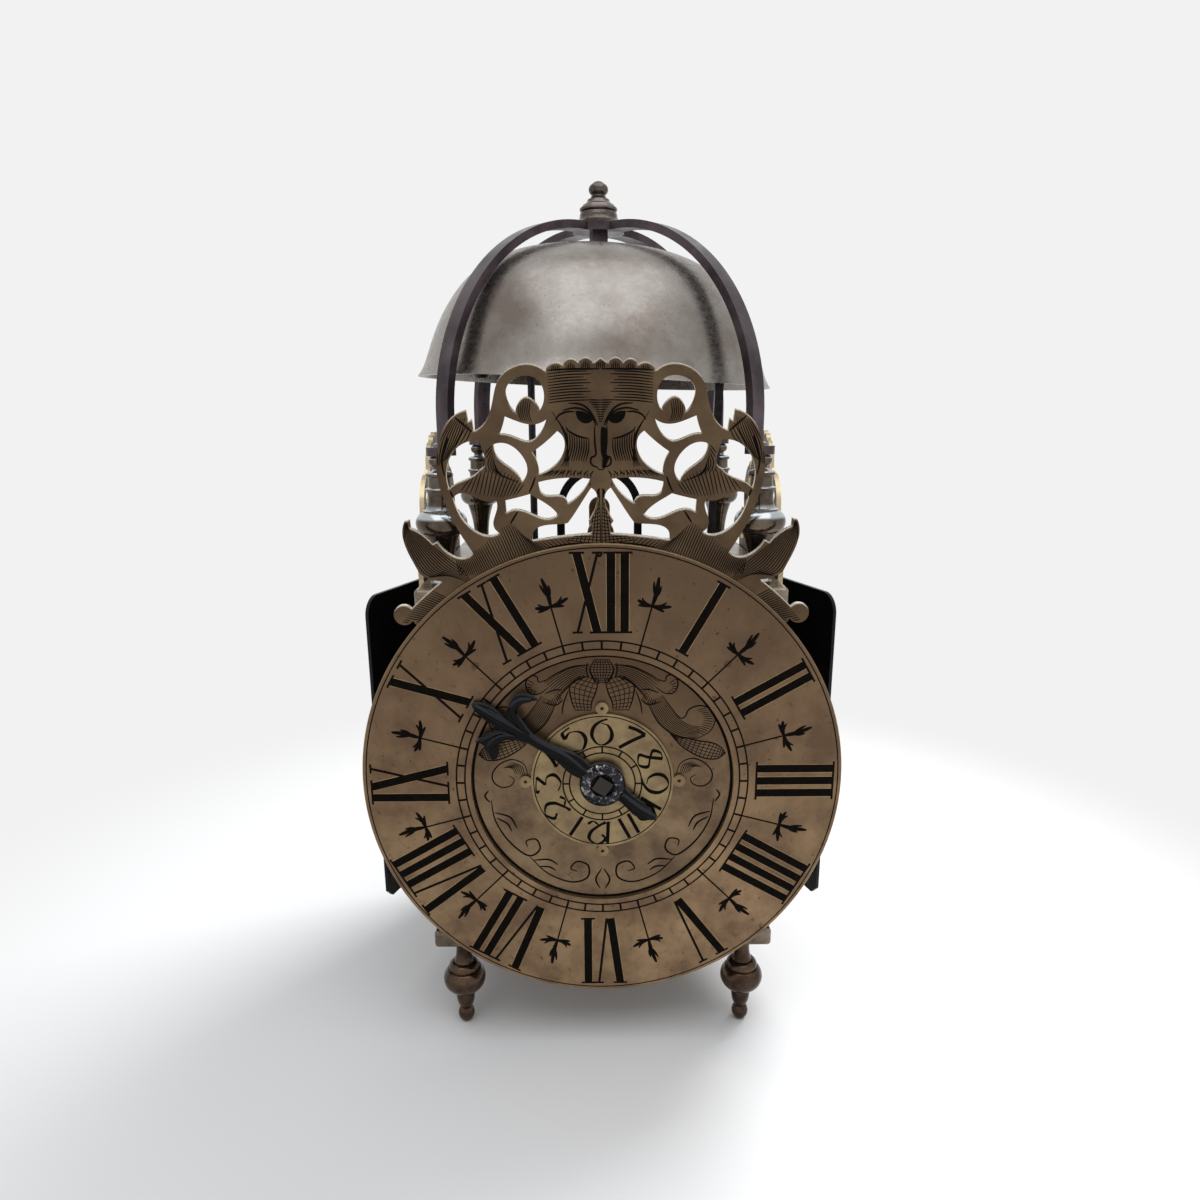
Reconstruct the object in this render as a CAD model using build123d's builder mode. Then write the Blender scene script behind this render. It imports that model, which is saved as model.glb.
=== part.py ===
from build123d import *
import math
import os

os.makedirs("parts", exist_ok=True)

# A brass four-pillar lantern clock. Millimetres, +Z up, the dial faces -Y.
# The origin is on the floor, under the middle of the square frame.

# ---------------------------------------------------------------- driving sizes
# frame
foot_height = 37.0
plate_size = 120.0
plate_thickness = 6.4
plate_edge_round = 1.3
pillar_length = 117.0
pillar_x = 51.5
pillar_y = 50.0
stud_radius = 1.9            # threaded ends of the pillars
stud_reach = 4.5             # how far they enter a foot or a finial
stud_clearance = 0.08
stud_end_gap = 0.3           # air left in the bottom of a threaded hole
finial_height = 41.4         # plate to the top of the ball
spigot_radius = 1.3          # riveted end that holds the bell strap

# bars and bearings
bar_width = 15.0
bar_thickness = 3.0
bar_tenon = 3.2              # depth of the mortises in the plates
bar_tenon_width = 7.5
arm_height = 8.0             # arms of the bars that carry the levers
arbor_radius = 1.6
great_arbor_radius = 2.0
pinion_core_radius = 1.2
pivot_length = 1.4           # what a pivot uses of the middle bar's shared holes
front_bar_y = -49.0          # front face of each upright bar
middle_bar_y = -4.0
back_bar_y = 38.0
bearing_clearance = 0.05     # radial play of a pivot in its hole
pivot_radius = 1.1
end_shake = 0.3              # end play of an arbor between its bars
seat_gap = 0.3               # air between a moving piece and its neighbour

# dial
dial_radius = 80.0
dial_opening_radius = 43.9
sheet_thickness = 1.6        # ring, dial plate and frets
ring_overhang = 4.4          # of the ring over the dial plate's edge, all round
fret_joint_gap = 0.3
fret_lean = 4.3               # degrees, of the front fret above the ring
alarm_disc_radius = 23.9
alarm_disc_thickness = 1.0
alarm_disc_gap = 0.15
pipe_radius = 4.0            # pipe of the hour wheel
hour_stud_radius = 1.7
hand_square = 5.2            # square end of the pipe
hand_thickness = 1.6
hand_gap = 1.0               # ring to the back of the hand
hand_boss_radius = 7.6
hand_angle = 56.3            # degrees left of twelve
ring_rivet_radius = 57.6     # circle of the ring's rivets
rivet_radius = 1.2

screw_head_radius = 1.5
screw_head_height = 0.9
screw_radius = 0.9
screw_length = 8.0
screw_clearance = 0.07
dial_screw_x = 25.0
fret_screw_x = 47.7
side_screw_y = 30.0

# bell and its strap
strap_width = 6.4
strap_thickness = 2.6
strap_upright = 68.4         # distance of the upright part from the axis
strap_shoulder_rise = 12.0   # height of the straight part over its foot
strap_arch_rise = 62.7       # of the middle of the strap's thickness
strap_flat = 10.0            # half of the flat middle
strap_hub_radius = 9.0
strap_eye_radius = 3.8
bell_radius = 63.2
bell_height = 45.6
bell_wall = 2.4
bell_tilt = 2.2              # degrees, the bell hangs lower on the right
bell_nut_size = 5.4
bell_nut_height = 4.0
bell_seat_gap = 0.25         # air for the tilt, above and below the bell's crown
bell_stud_radius = 1.7
top_finial_height = 14.2

# doors
door_length = 84.0
door_thickness = 1.2
door_x = 54.6                # hinge line, from the middle
door_y = 42.0
door_gap = 0.5               # to the plates, above and below
door_pin_radius = 1.2
door_pin_length = 3.0
door_ajar = 18.5             # degrees

# wheels: teeth, and module in millimetres
great_teeth, great_module = 56, 0.8
second_teeth, second_module = 54, 0.7
contrate_teeth, contrate_module = 48, 0.7
hour_teeth = 48
count_teeth, count_module = 78, 0.55
great_pinion_leaves = 7      # driven by a great wheel
upper_pinion_leaves = 6
report_leaves = 8
crown_teeth = 17
wheel_thickness = 2.0
thin_wheel = 1.5
great_arbor_z = 70.0
going_great_y = -20.0
strike_great_y = 12.0
second_wheel_y = -36.0
contrate_y = -12.0
hoop_wheel_y = 24.0
hammer_pins = 8
hammer_pin_circle = 19.0
pulley_radius = 11.5

# escapement
crown_radius = 12.8
crown_band = 9.0
verge_radius = 1.3
verge_height = 14.8          # verge above the top plate
pallet_reach = 4.3
pendulum_length = 134.0
pendulum_y = 64.2
bob_radius = 9.0
bob_thickness = 6.2

# hanging hoop, back plate, alarm
hoop_half_span = 17.0
hoop_thickness = 3.4
hoop_width = 3.4
hoop_y = 56.0
hoop_height = 32.0           # above the top plate
hoop_reach = 4.0             # depth of its feet in the plate
back_plate_y = 56.0
back_plate_thickness = 1.2
back_plate_width = 112.0
alarm_wheel_radius = 9.0
alarm_teeth = 15

# ---------------------------------------------------------------- derived places
plate_half = plate_size / 2
dial_plate_radius = dial_radius - ring_overhang
floor_plate_z = foot_height + plate_thickness          # upper face of the bottom plate
ceiling_z = floor_plate_z + pillar_length              # lower face of the top plate
roof_z = ceiling_z + plate_thickness                   # upper face of the top plate
dial_z = floor_plate_z + pillar_length / 2
sheet_back_y = -plate_half                             # dial plate and fret lie on the plates' edges
ring_back_y = sheet_back_y - sheet_thickness
ring_front_y = ring_back_y - sheet_thickness
alarm_back_y = ring_back_y - alarm_disc_gap
hand_back_y = ring_front_y - hand_gap
hand_front_y = hand_back_y - hand_thickness
corners = [("front_left", -1, -1), ("front_right", 1, -1), ("back_left", -1, 1), ("back_right", 1, 1)]
pillar_reach = math.hypot(pillar_x, pillar_y)
pillar_bearing = math.degrees(math.atan2(pillar_y, pillar_x))
hole_radius = pivot_radius + bearing_clearance
second_z = great_arbor_z + (great_teeth + great_pinion_leaves) / 2 * great_module
contrate_z = second_z + (second_teeth + upper_pinion_leaves) / 2 * second_module
contrate_radius = contrate_teeth * contrate_module / 2
hour_module = 2 * (dial_z - great_arbor_z) / (hour_teeth + report_leaves)
count_z = great_arbor_z + (count_teeth + report_leaves) / 2 * count_module
strap_foot_z = roof_z + finial_height
strap_spring_z = strap_foot_z + strap_shoulder_rise
strap_top_z = strap_spring_z + strap_arch_rise + strap_thickness / 2
verge_z = roof_z + verge_height
bell_top_z = strap_top_z - strap_thickness - bell_nut_height - 2 * bell_seat_gap
bell_rim_z = bell_top_z - bell_height


# ---------------------------------------------------------------- shared shapes
def dial_plane(y):
    """Plane facing the viewer at depth y, its middle on the dial's centre; local x is X, local y is Z."""
    return Plane(origin=(0, y, dial_z), x_dir=(1, 0, 0), z_dir=(0, -1, 0))


def front_plane(y, x=0, z=0):
    """Plane facing the viewer through a given point; local x is X, local y is Z."""
    return Plane(origin=(x, y, z), x_dir=(1, 0, 0), z_dir=(0, -1, 0))


def arbor_plane(x, z):
    """Upright plane along an arbor that runs front to back; local x is Y, local y is Z."""
    return Plane(origin=(x, 0, z), x_dir=(0, 1, 0), z_dir=(1, 0, 0))


def side_plane(x, z=0):
    """Plane of a side at distance x; local x is Y, local y is Z."""
    return Plane(origin=(x, 0, z), x_dir=(0, 1, 0), z_dir=(1, 0, 0))


def draw_steps(steps):
    """Draw a closed chain. A step of two numbers is the next corner, one of four is an arc's middle
    and end, and a list of points is a smooth curve through them."""
    here = steps[0]
    for step in steps[1:]:
        if isinstance(step, list):
            Spline(here, *step)
            here = step[-1]
        elif len(step) == 2:
            Line(here, step)
            here = step
        else:
            ThreePointArc(here, step[:2], step[2:])
            here = step[2:]
    if math.dist(here, steps[0]) > 0.01:
        Line(here, steps[0])


def turned(steps, x, y, z):
    """A turned piece on an upright axis, from its half outline of (radius, height) steps."""
    with BuildPart() as piece:
        with BuildSketch(front_plane(y, x, z)):
            with BuildLine():
                draw_steps(steps)
            make_face()
        revolve(axis=Axis((x, y, 0), (0, 0, 1)))
    return piece.part


def arbor(stretches, x, z):
    """A stepped arbor along Y, from (start, end, radius) stretches in order."""
    corners_2d = [(stretches[0][0], 0)]
    for start, end, radius in stretches:
        corners_2d += [(start, radius), (end, radius)]
    corners_2d.append((stretches[-1][1], 0))
    with BuildPart() as piece:
        with BuildSketch(arbor_plane(x, z)):
            with BuildLine():
                Polyline(*corners_2d, close=True)
            make_face()
        revolve(axis=Axis((x, 0, z), (0, 1, 0)))
    return piece.part


def tooth_points(teeth, module, first_tooth, addendum, dedendum, fullness):
    """Outline of a toothed disc with straight-sided teeth; first_tooth is one tooth's angle in degrees."""
    pitch_radius = teeth * module / 2
    root = pitch_radius - dedendum * module
    tip = pitch_radius + addendum * module
    step = 2 * math.pi / teeth
    points = []
    for number in range(teeth):
        middle = math.radians(first_tooth) + number * step
        for radius, share in ((root, -0.25), (tip, -0.12), (tip, 0.12), (root, 0.25)):
            angle = middle + share * fullness * step
            points.append((radius * math.cos(angle), radius * math.sin(angle)))
    return points


def wheel_points(teeth, module, first_tooth=90.0):
    """Teeth of a wheel, with one tooth pointing at the piece above it."""
    return tooth_points(teeth, module, first_tooth, 0.9, 1.0, 0.95)


def leaf_points(leaves, module, towards=-90.0):
    """Leaves of a pinion, with a gap facing the wheel that it meets."""
    return tooth_points(leaves, module, towards + 180.0 / leaves, 0.5, 1.25, 0.85)


def crossed_wheel(plane, points, rim_inner, hub_radius, bore, thickness, spokes=4, spoke_width=3.2):
    """A toothed wheel with crossings: rim, hub and straight spokes, extruded along the plane's normal."""
    with BuildPart() as piece:
        with BuildSketch(plane):
            with BuildLine():
                Polyline(*points, close=True)
            make_face()
            Circle(rim_inner, mode=Mode.SUBTRACT)
            Circle(hub_radius)
            with PolarLocations(0, spokes, start_angle=45):
                Rectangle(rim_inner + 0.5, spoke_width, align=(Align.MIN, Align.CENTER))
            Circle(bore, mode=Mode.SUBTRACT)
        extrude(amount=thickness)
    return piece.part


def leaves_on(plane, points, length):
    """The toothed length of a pinion."""
    with BuildPart() as piece:
        with BuildSketch(plane):
            with BuildLine():
                Polyline(*points, close=True)
            make_face()
        extrude(amount=length)
    return piece.part


def write(part, name):
    """Label a finished piece and write it to its own file."""
    part.label = name
    export_step(part, f"parts/{name}.step")


# ---------------------------------------------------------------- plates
# Cast brass, square, with a rounded moulded edge. Both carry the pillars' studs, the bars' tenons
# and the doors' pins; the top one also lets the hammer, the alarm's verge and the crown arbor through.
bar_faces = (front_bar_y, middle_bar_y, back_bar_y)
# Middle of a plate's edge, from the dial's centre.
plate_edge_offset = (pillar_length + plate_thickness) / 2
dial_screws = [(x, z) for x in (-dial_screw_x, dial_screw_x) for z in (-plate_edge_offset,
                                                                       plate_edge_offset)]
fret_screws = [(x, plate_edge_offset) for x in (-fret_screw_x, fret_screw_x)]
side_screws = [(y, plate_edge_offset) for y in (-side_screw_y, side_screw_y)]
hammer_x, hammer_y, hammer_z = 36.0, 16.0, 72.0
hammer_slot = (32.0, 47.6)
hammer_slot_width = 5.0
alarm_x, alarm_y, alarm_z = -28.0, 45.0, 134.0
alarm_verge_radius = 1.5
crown_axis_y = contrate_y - 3.2 - upper_pinion_leaves * contrate_module / 2
crown_arbor_radius = 1.5
crown_pivot_radius = 0.9
rope_hole_radius = 3.0
rope_lines = [(side * pulley_radius, y) for side in (-1, 1) for y in (-27.5, 7.0)]

with BuildPart() as bottom_plate:
    with BuildSketch(Plane.XY.offset(foot_height)):
        Rectangle(plate_size, plate_size)
    extrude(amount=plate_thickness)
    fillet(bottom_plate.edges().filter_by(Axis.Z), plate_edge_round)
    fillet(bottom_plate.faces().sort_by(Axis.Z)[-1].outer_wire().edges(), plate_edge_round)
    fillet(bottom_plate.faces().sort_by(Axis.Z)[0].outer_wire().edges(), plate_edge_round)
    with BuildSketch(Plane.XY.offset(foot_height)):
        with GridLocations(2 * pillar_x, 2 * pillar_y, 2, 2):
            Circle(stud_radius + stud_clearance)
        with Locations(*rope_lines):
            Circle(rope_hole_radius)
    extrude(amount=plate_thickness, mode=Mode.SUBTRACT)
    with BuildSketch(Plane.XY.offset(floor_plate_z)):
        for face_y in bar_faces:
            with Locations((0, face_y + bar_thickness / 2)):
                Rectangle(bar_tenon_width, bar_thickness)
        with GridLocations(2 * door_x, 0, 2, 1):
            with Locations((0, door_y)):
                Circle(door_pin_radius + bearing_clearance)
    extrude(amount=-bar_tenon, mode=Mode.SUBTRACT)
    with BuildSketch(dial_plane(sheet_back_y)):
        with Locations(*dial_screws):
            Circle(screw_radius + screw_clearance)
    extrude(amount=-screw_length, mode=Mode.SUBTRACT)
write(bottom_plate.part, "bottom_plate")

with BuildPart() as top_plate:
    with BuildSketch(Plane.XY.offset(ceiling_z)):
        Rectangle(plate_size, plate_size)
    extrude(amount=plate_thickness)
    fillet(top_plate.edges().filter_by(Axis.Z), plate_edge_round)
    fillet(top_plate.faces().sort_by(Axis.Z)[-1].outer_wire().edges(), plate_edge_round)
    fillet(top_plate.faces().sort_by(Axis.Z)[0].outer_wire().edges(), plate_edge_round)
    with BuildSketch(Plane.XY.offset(ceiling_z)):
        with GridLocations(2 * pillar_x, 2 * pillar_y, 2, 2):
            Circle(stud_radius + stud_clearance)
        with Locations((0, crown_axis_y)):
            Circle(crown_arbor_radius + bearing_clearance)
        with Locations((alarm_x, alarm_y)):
            Circle(alarm_verge_radius + bearing_clearance)
        with Locations((sum(hammer_slot) / 2, hammer_y)):
            Rectangle(hammer_slot[1] - hammer_slot[0], hammer_slot_width)
    extrude(amount=plate_thickness, mode=Mode.SUBTRACT)
    with BuildSketch(Plane.XY.offset(ceiling_z)):
        for face_y in bar_faces:
            with Locations((0, face_y + bar_thickness / 2)):
                Rectangle(bar_tenon_width, bar_thickness)
        with GridLocations(2 * door_x, 0, 2, 1):
            with Locations((0, door_y)):
                Circle(door_pin_radius + bearing_clearance)
    extrude(amount=bar_tenon, mode=Mode.SUBTRACT)
    with BuildSketch(dial_plane(sheet_back_y)):
        with Locations(*dial_screws, *fret_screws):
            Circle(screw_radius + screw_clearance)
    extrude(amount=-screw_length, mode=Mode.SUBTRACT)
    with BuildSketch(side_plane(plate_half, dial_z), side_plane(-plate_half, dial_z)):
        with Locations(*side_screws):
            Circle(screw_radius + screw_clearance)
    extrude(amount=screw_length, both=True, mode=Mode.SUBTRACT)
    with BuildSketch(Plane.XY.offset(roof_z)):
        with Locations((-hoop_half_span, hoop_y), (hoop_half_span, hoop_y)):
            Rectangle(hoop_thickness + 0.1, hoop_width + 0.1)
    extrude(amount=-hoop_reach, mode=Mode.SUBTRACT)
write(top_plate.part, "top_plate")

# ---------------------------------------------------------------- feet, pillars, finials
# Turned brass. Each pillar ends in threaded studs that go through the plates into a foot and a finial.
foot_steps = [
    (0, 0), (1.4, 0), (2.9, 2.4, 2.1, 5.9), (3.2, 9.0, 3.3, 12.4), (4.6, 13.6), (7.7, 18.8, 6.1, 22.4),
    (5.6, 22.6), (5.2, 24.6, 3.6, 25.6), (2.65, 29.6, 3.1, 34.0), (4.4, 35.4), (4.6, foot_height),
    (stud_radius + stud_clearance, foot_height),
    (stud_radius + stud_clearance, foot_height - stud_reach - stud_end_gap),
    (0, foot_height - stud_reach - stud_end_gap),
]
pillar_steps = [
    (0, -plate_thickness - stud_reach), (stud_radius, -plate_thickness - stud_reach), (stud_radius, 0),
    (5.2, 0), (5.2, 2.4), (5.6, 3.4, 5.2, 4.4), (4.3, 4.8), (3.7, 7.0, 4.1, 9.4),
    (4.0, pillar_length / 2 - 3.5, 3.5, pillar_length - 10.0), (4.3, pillar_length - 8.8),
    (4.9, pillar_length - 7.8, 4.3, pillar_length - 6.8), (3.8, pillar_length - 6.4),
    (3.9, pillar_length - 4.4), (5.2, pillar_length - 2.6), (5.2, pillar_length),
    (stud_radius, pillar_length),
    (stud_radius, pillar_length + plate_thickness + stud_reach),
    (0, pillar_length + plate_thickness + stud_reach),
]
finial_steps = [
    (stud_radius + stud_clearance, 0), (4.7, 0), (4.7, 0.9), (3.3, 1.7, 3.1, 3.4), (3.8, 10.4, 5.5, 16.4),
    (6.1, 16.6), (8.3, 20.3, 5.9, 23.8), (5.9, 24.2), (4.9, 24.6), (4.0, 27.6, 4.3, 30.3),
    (4.8, 30.8, 4.3, 31.3), (3.7, 31.6), (3.6, 34.7), (4.4, 35.5, 3.8, 36.3), (2.9, 36.6),
    (1.9, 37.2, 1.9, 37.9), (3.2, 39.8, 1.7, finial_height), (spigot_radius, finial_height),
    (spigot_radius, finial_height + strap_thickness), (1.65, finial_height + strap_thickness),
    (1.3, finial_height + strap_thickness + 1.0), (0.5, finial_height + strap_thickness + 1.3),
    (0, finial_height + strap_thickness + 1.3),
    (0, stud_reach + stud_end_gap), (stud_radius + stud_clearance, stud_reach + stud_end_gap),
]
for corner, side, end in corners:
    write(turned(foot_steps, side * pillar_x, end * pillar_y, 0), f"foot_{corner}")
    write(turned(pillar_steps, side * pillar_x, end * pillar_y, floor_plate_z), f"pillar_{corner}")
    write(turned(finial_steps, side * pillar_x, end * pillar_y, roof_z), f"finial_{corner}")

# ---------------------------------------------------------------- upright bars
# Iron bars tenoned into the plates carry the trains' pivots; short arms carry the levers' pivots.
lifting_x, lifting_z = -30.0, 140.0
locking_x, locking_z = 30.0, 140.0
stud_y_end = hand_front_y + 0.6
potence_z = contrate_z + 6.8
potence_height = 4.0


def upright_bar(face_y, pivots, arms):
    """One bar: a strip between the plates with tenons, arms out to side pivots, and pivot holes."""
    with BuildPart() as bar:
        with BuildSketch(front_plane(face_y + bar_thickness)):
            with Locations((0, (floor_plate_z + ceiling_z) / 2)):
                Rectangle(bar_width, pillar_length)
                Rectangle(bar_tenon_width - 0.1, pillar_length + 2 * bar_tenon - 0.2)
            for x, z in arms:
                with Locations((x / 2, z)):
                    Rectangle(abs(x), arm_height)
                with Locations((x, z)):
                    Circle(arm_height / 2)
            with Locations(*pivots, *arms):
                Circle(hole_radius, mode=Mode.SUBTRACT)
        extrude(amount=bar_thickness)
    return bar.part


train_pivots = [(0, great_arbor_z), (0, second_z), (0, contrate_z)]
with BuildPart() as front_bar:
    add(upright_bar(front_bar_y, train_pivots, [(lifting_x, lifting_z)]))
    with BuildSketch(dial_plane(front_bar_y)):
        Circle(hour_stud_radius)
    extrude(amount=front_bar_y - stud_y_end)
    with BuildSketch(Plane.XY.offset(potence_z)):
        with Locations((0, (front_bar_y + bar_thickness + crown_axis_y) / 2)):
            Rectangle(6.0, crown_axis_y - front_bar_y - bar_thickness)
        with Locations((0, crown_axis_y)):
            Circle(3.0)
            Circle(crown_pivot_radius + bearing_clearance, mode=Mode.SUBTRACT)
    extrude(amount=potence_height)
write(front_bar.part, "front_bar")

write(upright_bar(middle_bar_y, train_pivots, [(hammer_x, hammer_z), (locking_x, locking_z)]), "middle_bar")

count_stud_radius = 1.6
count_stud_length = 7.6
with BuildPart() as back_bar:
    add(upright_bar(back_bar_y, train_pivots, [(hammer_x, hammer_z), (locking_x, locking_z),
                                               (lifting_x, lifting_z)]))
    with BuildSketch(front_plane(back_bar_y + bar_thickness, 0, count_z)):
        Circle(count_stud_radius)
    extrude(amount=-count_stud_length)
write(back_bar.part, "back_bar")

# ---------------------------------------------------------------- dial
# The chapter ring lies on the dial plate, held by four rivets and by a pin into the fret at twelve.
with BuildPart() as chapter_ring:
    with BuildSketch(dial_plane(ring_back_y)):
        Circle(dial_radius)
        Circle(dial_opening_radius, mode=Mode.SUBTRACT)
        with PolarLocations(ring_rivet_radius, 4, start_angle=45):
            Circle(rivet_radius + bearing_clearance, mode=Mode.SUBTRACT)
    extrude(amount=sheet_thickness)
    chamfer(chapter_ring.faces().sort_by(Axis.Y)[0].outer_wire().edges(), 0.35)
write(chapter_ring.part, "chapter_ring")

with BuildPart() as dial_plate:
    with BuildSketch(dial_plane(sheet_back_y)):
        Circle(dial_plate_radius)
        Circle(pipe_radius + seat_gap, mode=Mode.SUBTRACT)
        with PolarLocations(ring_rivet_radius, 4, start_angle=45):
            Circle(rivet_radius + bearing_clearance, mode=Mode.SUBTRACT)
        with Locations(*dial_screws):
            Circle(screw_radius + screw_clearance, mode=Mode.SUBTRACT)
    extrude(amount=sheet_thickness)
    with BuildSketch(dial_plane(ring_back_y)):
        with Locations(*dial_screws):
            Circle(screw_head_radius + screw_clearance)
    extrude(amount=-screw_head_height, mode=Mode.SUBTRACT)
    # A larger plate is also notched where it reaches the front fret's screws.
    with BuildSketch(dial_plane(sheet_back_y)):
        with Locations(*fret_screws):
            Circle(screw_head_radius + screw_clearance)
    extrude(amount=sheet_thickness, mode=Mode.SUBTRACT)
write(dial_plate.part, "dial_plate")

with BuildPart() as dial_rivets:
    with BuildSketch(dial_plane(sheet_back_y + 0.8)):
        with PolarLocations(ring_rivet_radius, 4, start_angle=45):
            Circle(rivet_radius + 0.8)
    extrude(amount=0.8)
    with BuildSketch(dial_plane(sheet_back_y)):
        with PolarLocations(ring_rivet_radius, 4, start_angle=45):
            Circle(rivet_radius)
    extrude(amount=2 * sheet_thickness)
write(dial_rivets.part, "dial_rivets")

# Alarm disc: turns stiffly on the hour pipe; four small ears with pin holes.
ear_radius = 2.1
with BuildPart() as alarm_disc:
    with BuildSketch(dial_plane(alarm_back_y)):
        Circle(alarm_disc_radius)
        with PolarLocations(alarm_disc_radius + ear_radius - 0.3, 4):
            Circle(ear_radius)
            Circle(0.6, mode=Mode.SUBTRACT)
        Circle(pipe_radius + bearing_clearance, mode=Mode.SUBTRACT)
    extrude(amount=alarm_disc_thickness)
write(alarm_disc.part, "alarm_disc")

# ---------------------------------------------------------------- frets
# Sheet brass, sawn and engraved. Half outlines from the middle line, mirrored; a solid band at the foot
# takes the screws. The front one sits over the dial plate, its arms follow the ring down to two volutes.
fret_foot_radius = dial_plate_radius + fret_joint_gap
arm_width = 8.8
fret_share = fret_foot_radius / 75.9       # the front outline is drawn for a foot of 75.9 mm
drawn_radius = fret_foot_radius / fret_share
arm_edge = drawn_radius + arm_width / fret_share
arm_angles = (36.5, 47.0)                  # from the middle line: start of the free arm, volute
volute_centre = (63.0, 57.2)
volute_radius = 3.3


def resized(steps, share):
    """The steps of an outline, all lengths times share."""
    return [resized(step, share) if isinstance(step, list) else tuple(share * length for length in step)
            for step in steps]


def on_dial(radius, angle):
    """Point of the dial's plane at a radius and an angle in degrees, clockwise from twelve."""
    return (radius * math.sin(math.radians(angle)), radius * math.cos(math.radians(angle)))


front_outline = [
    (0, drawn_radius), (0, 135.2), (2.2, 133.7), (4.4, 135.3, 6.6, 133.5), (8.8, 135.0, 11.0, 133.0),
    (13.5, 133.9, 16.2, 131.4), [(23.8, 133.4), (29.7, 129.8), (32.5, 121.5), (38.2, 114.3)],
    (38.6, 117.9), (39.7, 116.9), (40.2, 120.5),
    [(45.1, 117.9), (48.9, 111.1), (50.1, 103.7), (48.7, 95.0), (45.2, 85.7), (40.2, 77.0)],
    [(43.9, 75.4), (47.2, 76.5), (51.2, 80.7)], (52.7, 79.8), [(56.0, 83.2), (59.4, 85.1)], (59.5, 87.6),
    (60.9, 87.3), [(61.9, 84.0), (60.1, 76.2), (57.3, 70.5)],
    [(53.7, 68.6), on_dial(arm_edge, arm_angles[0])],
    (*on_dial(arm_edge, sum(arm_angles) / 2), *on_dial(arm_edge, arm_angles[1])),
    on_dial(drawn_radius, arm_angles[1] + 1.5),
    (*on_dial(drawn_radius, 24), 0, drawn_radius),
]
front_openings = [
    [(28.0, 124.2), [(27.5, 127.5), (23.5, 130.0), (18.6, 129.0), (16.8, 123.7), (18.2, 120.4)],
     [(19.6, 122.8), (22.4, 124.2), (24.4, 122.6), (25.4, 119.6)], [(27.0, 121.6), (28.0, 124.2)]],
    [(28.7, 118.6), [(24.7, 117.0), (21.4, 116.2), (16.3, 117.6)],
     [(17.4, 115.0), (21.5, 111.4), (26.4, 112.8), (30.4, 113.5)], [(29.4, 116.0), (28.7, 118.6)]],
    [(13.1, 114.2), [(11.0, 111.5), (11.3, 108.0), (14.0, 104.2), (18.9, 101.4)],
     [(19.2, 104.5), (20.8, 108.0)], [(17.4, 110.4), (13.1, 114.2)]],
    [(32.4, 110.4), [(28.5, 110.6), (24.0, 107.2), (22.4, 103.5), (24.2, 99.2)],
     [(26.3, 102.4), (30.2, 105.4), (32.4, 110.4)]],
    [(36.4, 111.4), [(40.5, 111.1), (45.0, 107.8), (47.2, 101.5), (46.6, 97.0)],
     [(44.0, 98.9), (39.7, 100.7), (36.9, 102.9)], [(35.2, 104.8), (35.6, 108.0), (36.4, 111.4)]],
    [(45.6, 94.2), [(42.5, 95.8), (37.7, 94.0), (32.3, 93.5)], [(32.4, 90.0), (33.4, 87.0), (31.7, 83.3)],
     [(36.0, 82.6), (40.8, 85.2), (44.0, 89.4), (45.6, 94.2)]],
    [(29.5, 93.5), [(25.5, 94.4), (21.8, 95.4)], [(18.5, 93.4), (15.2, 91.1), (13.3, 88.9)],
     [(18.0, 87.9), (22.4, 89.7), (26.0, 90.7), (29.3, 89.6)]],
    [(19.2, 99.0), [(14.0, 100.0), (8.5, 100.3), (3.3, 99.9)], [(6.4, 95.4), (10.2, 92.5)],
     [(12.5, 94.9), (15.7, 94.9), (19.2, 99.0)]],
    [(3.0, 97.2), [(1.4, 95.4), (1.3, 92.5), (3.9, 87.0)], [(2.9, 85.0), (3.0, 83.1)],
     [(9.0, 82.6), (15.8, 81.8), (21.4, 80.9)], [(20.2, 84.6), (16.6, 85.8), (10.3, 86.4)],
     [(7.6, 90.2), (5.3, 93.8), (3.0, 97.2)]],
]
side_outline = [
    (0, -plate_thickness + 1.2), (0, 47.6), (2.0, 46.4), (4.2, 47.8, 6.4, 45.8), (8.8, 46.8, 10.8, 44.4),
    [(14.8, 43.6), (18.0, 39.5), (19.0, 34.5), (21.4, 32.4)], (22.6, 35.4), (24.2, 33.8),
    [(29.6, 31.2), (33.3, 25.5), (33.4, 19.0), (30.8, 13.4)], [(33.8, 11.8), (37.2, 13.2)], (38.2, 15.8),
    (39.8, 14.6), [(42.2, 10.5), (42.7, 5.0), (42.0, 0)], (42.0, -plate_thickness + 1.2),
]
side_openings = [
    [(16.0, 37.5), [(14.0, 40.8), (9.8, 41.6), (6.4, 39.4)], [(9.4, 38.8), (12.4, 36.0)],
     [(14.4, 35.6), (16.0, 37.5)]],
    [(13.2, 32.0), [(9.5, 34.8), (5.4, 35.4), (2.0, 33.4)], [(4.6, 29.8), (9.0, 27.8)],
     [(11.8, 29.4), (13.2, 32.0)]],
    [(29.6, 26.2), [(26.2, 29.2), (21.8, 29.0), (18.0, 27.0)], [(21.0, 24.9), (25.0, 24.0)],
     [(27.8, 24.2), (29.6, 26.2)]],
    [(28.8, 19.5), [(23.5, 20.7), (17.6, 22.2), (12.4, 23.6)], [(13.5, 19.0), (18.5, 15.2), (25.6, 14.8)],
     [(28.0, 16.6), (28.8, 19.5)]],
    [(8.6, 21.5), [(4.8, 23.6), (1.8, 27.2)], [(1.6, 20.0), (3.2, 13.8), (9.2, 10.6)],
     [(9.6, 16.0), (8.6, 21.5)]],
    [(25.0, 10.8), [(19.0, 11.2), (13.4, 9.4)], [(16.0, 6.0), (22.0, 4.2), (27.0, 4.4)],
     [(27.0, 8.0), (25.0, 10.8)]],
    [(38.6, 9.6), [(34.8, 8.2), (31.2, 4.4)], [(35.0, 2.8), (39.2, 3.2)], [(39.8, 6.5), (38.6, 9.6)]],
]

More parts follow.
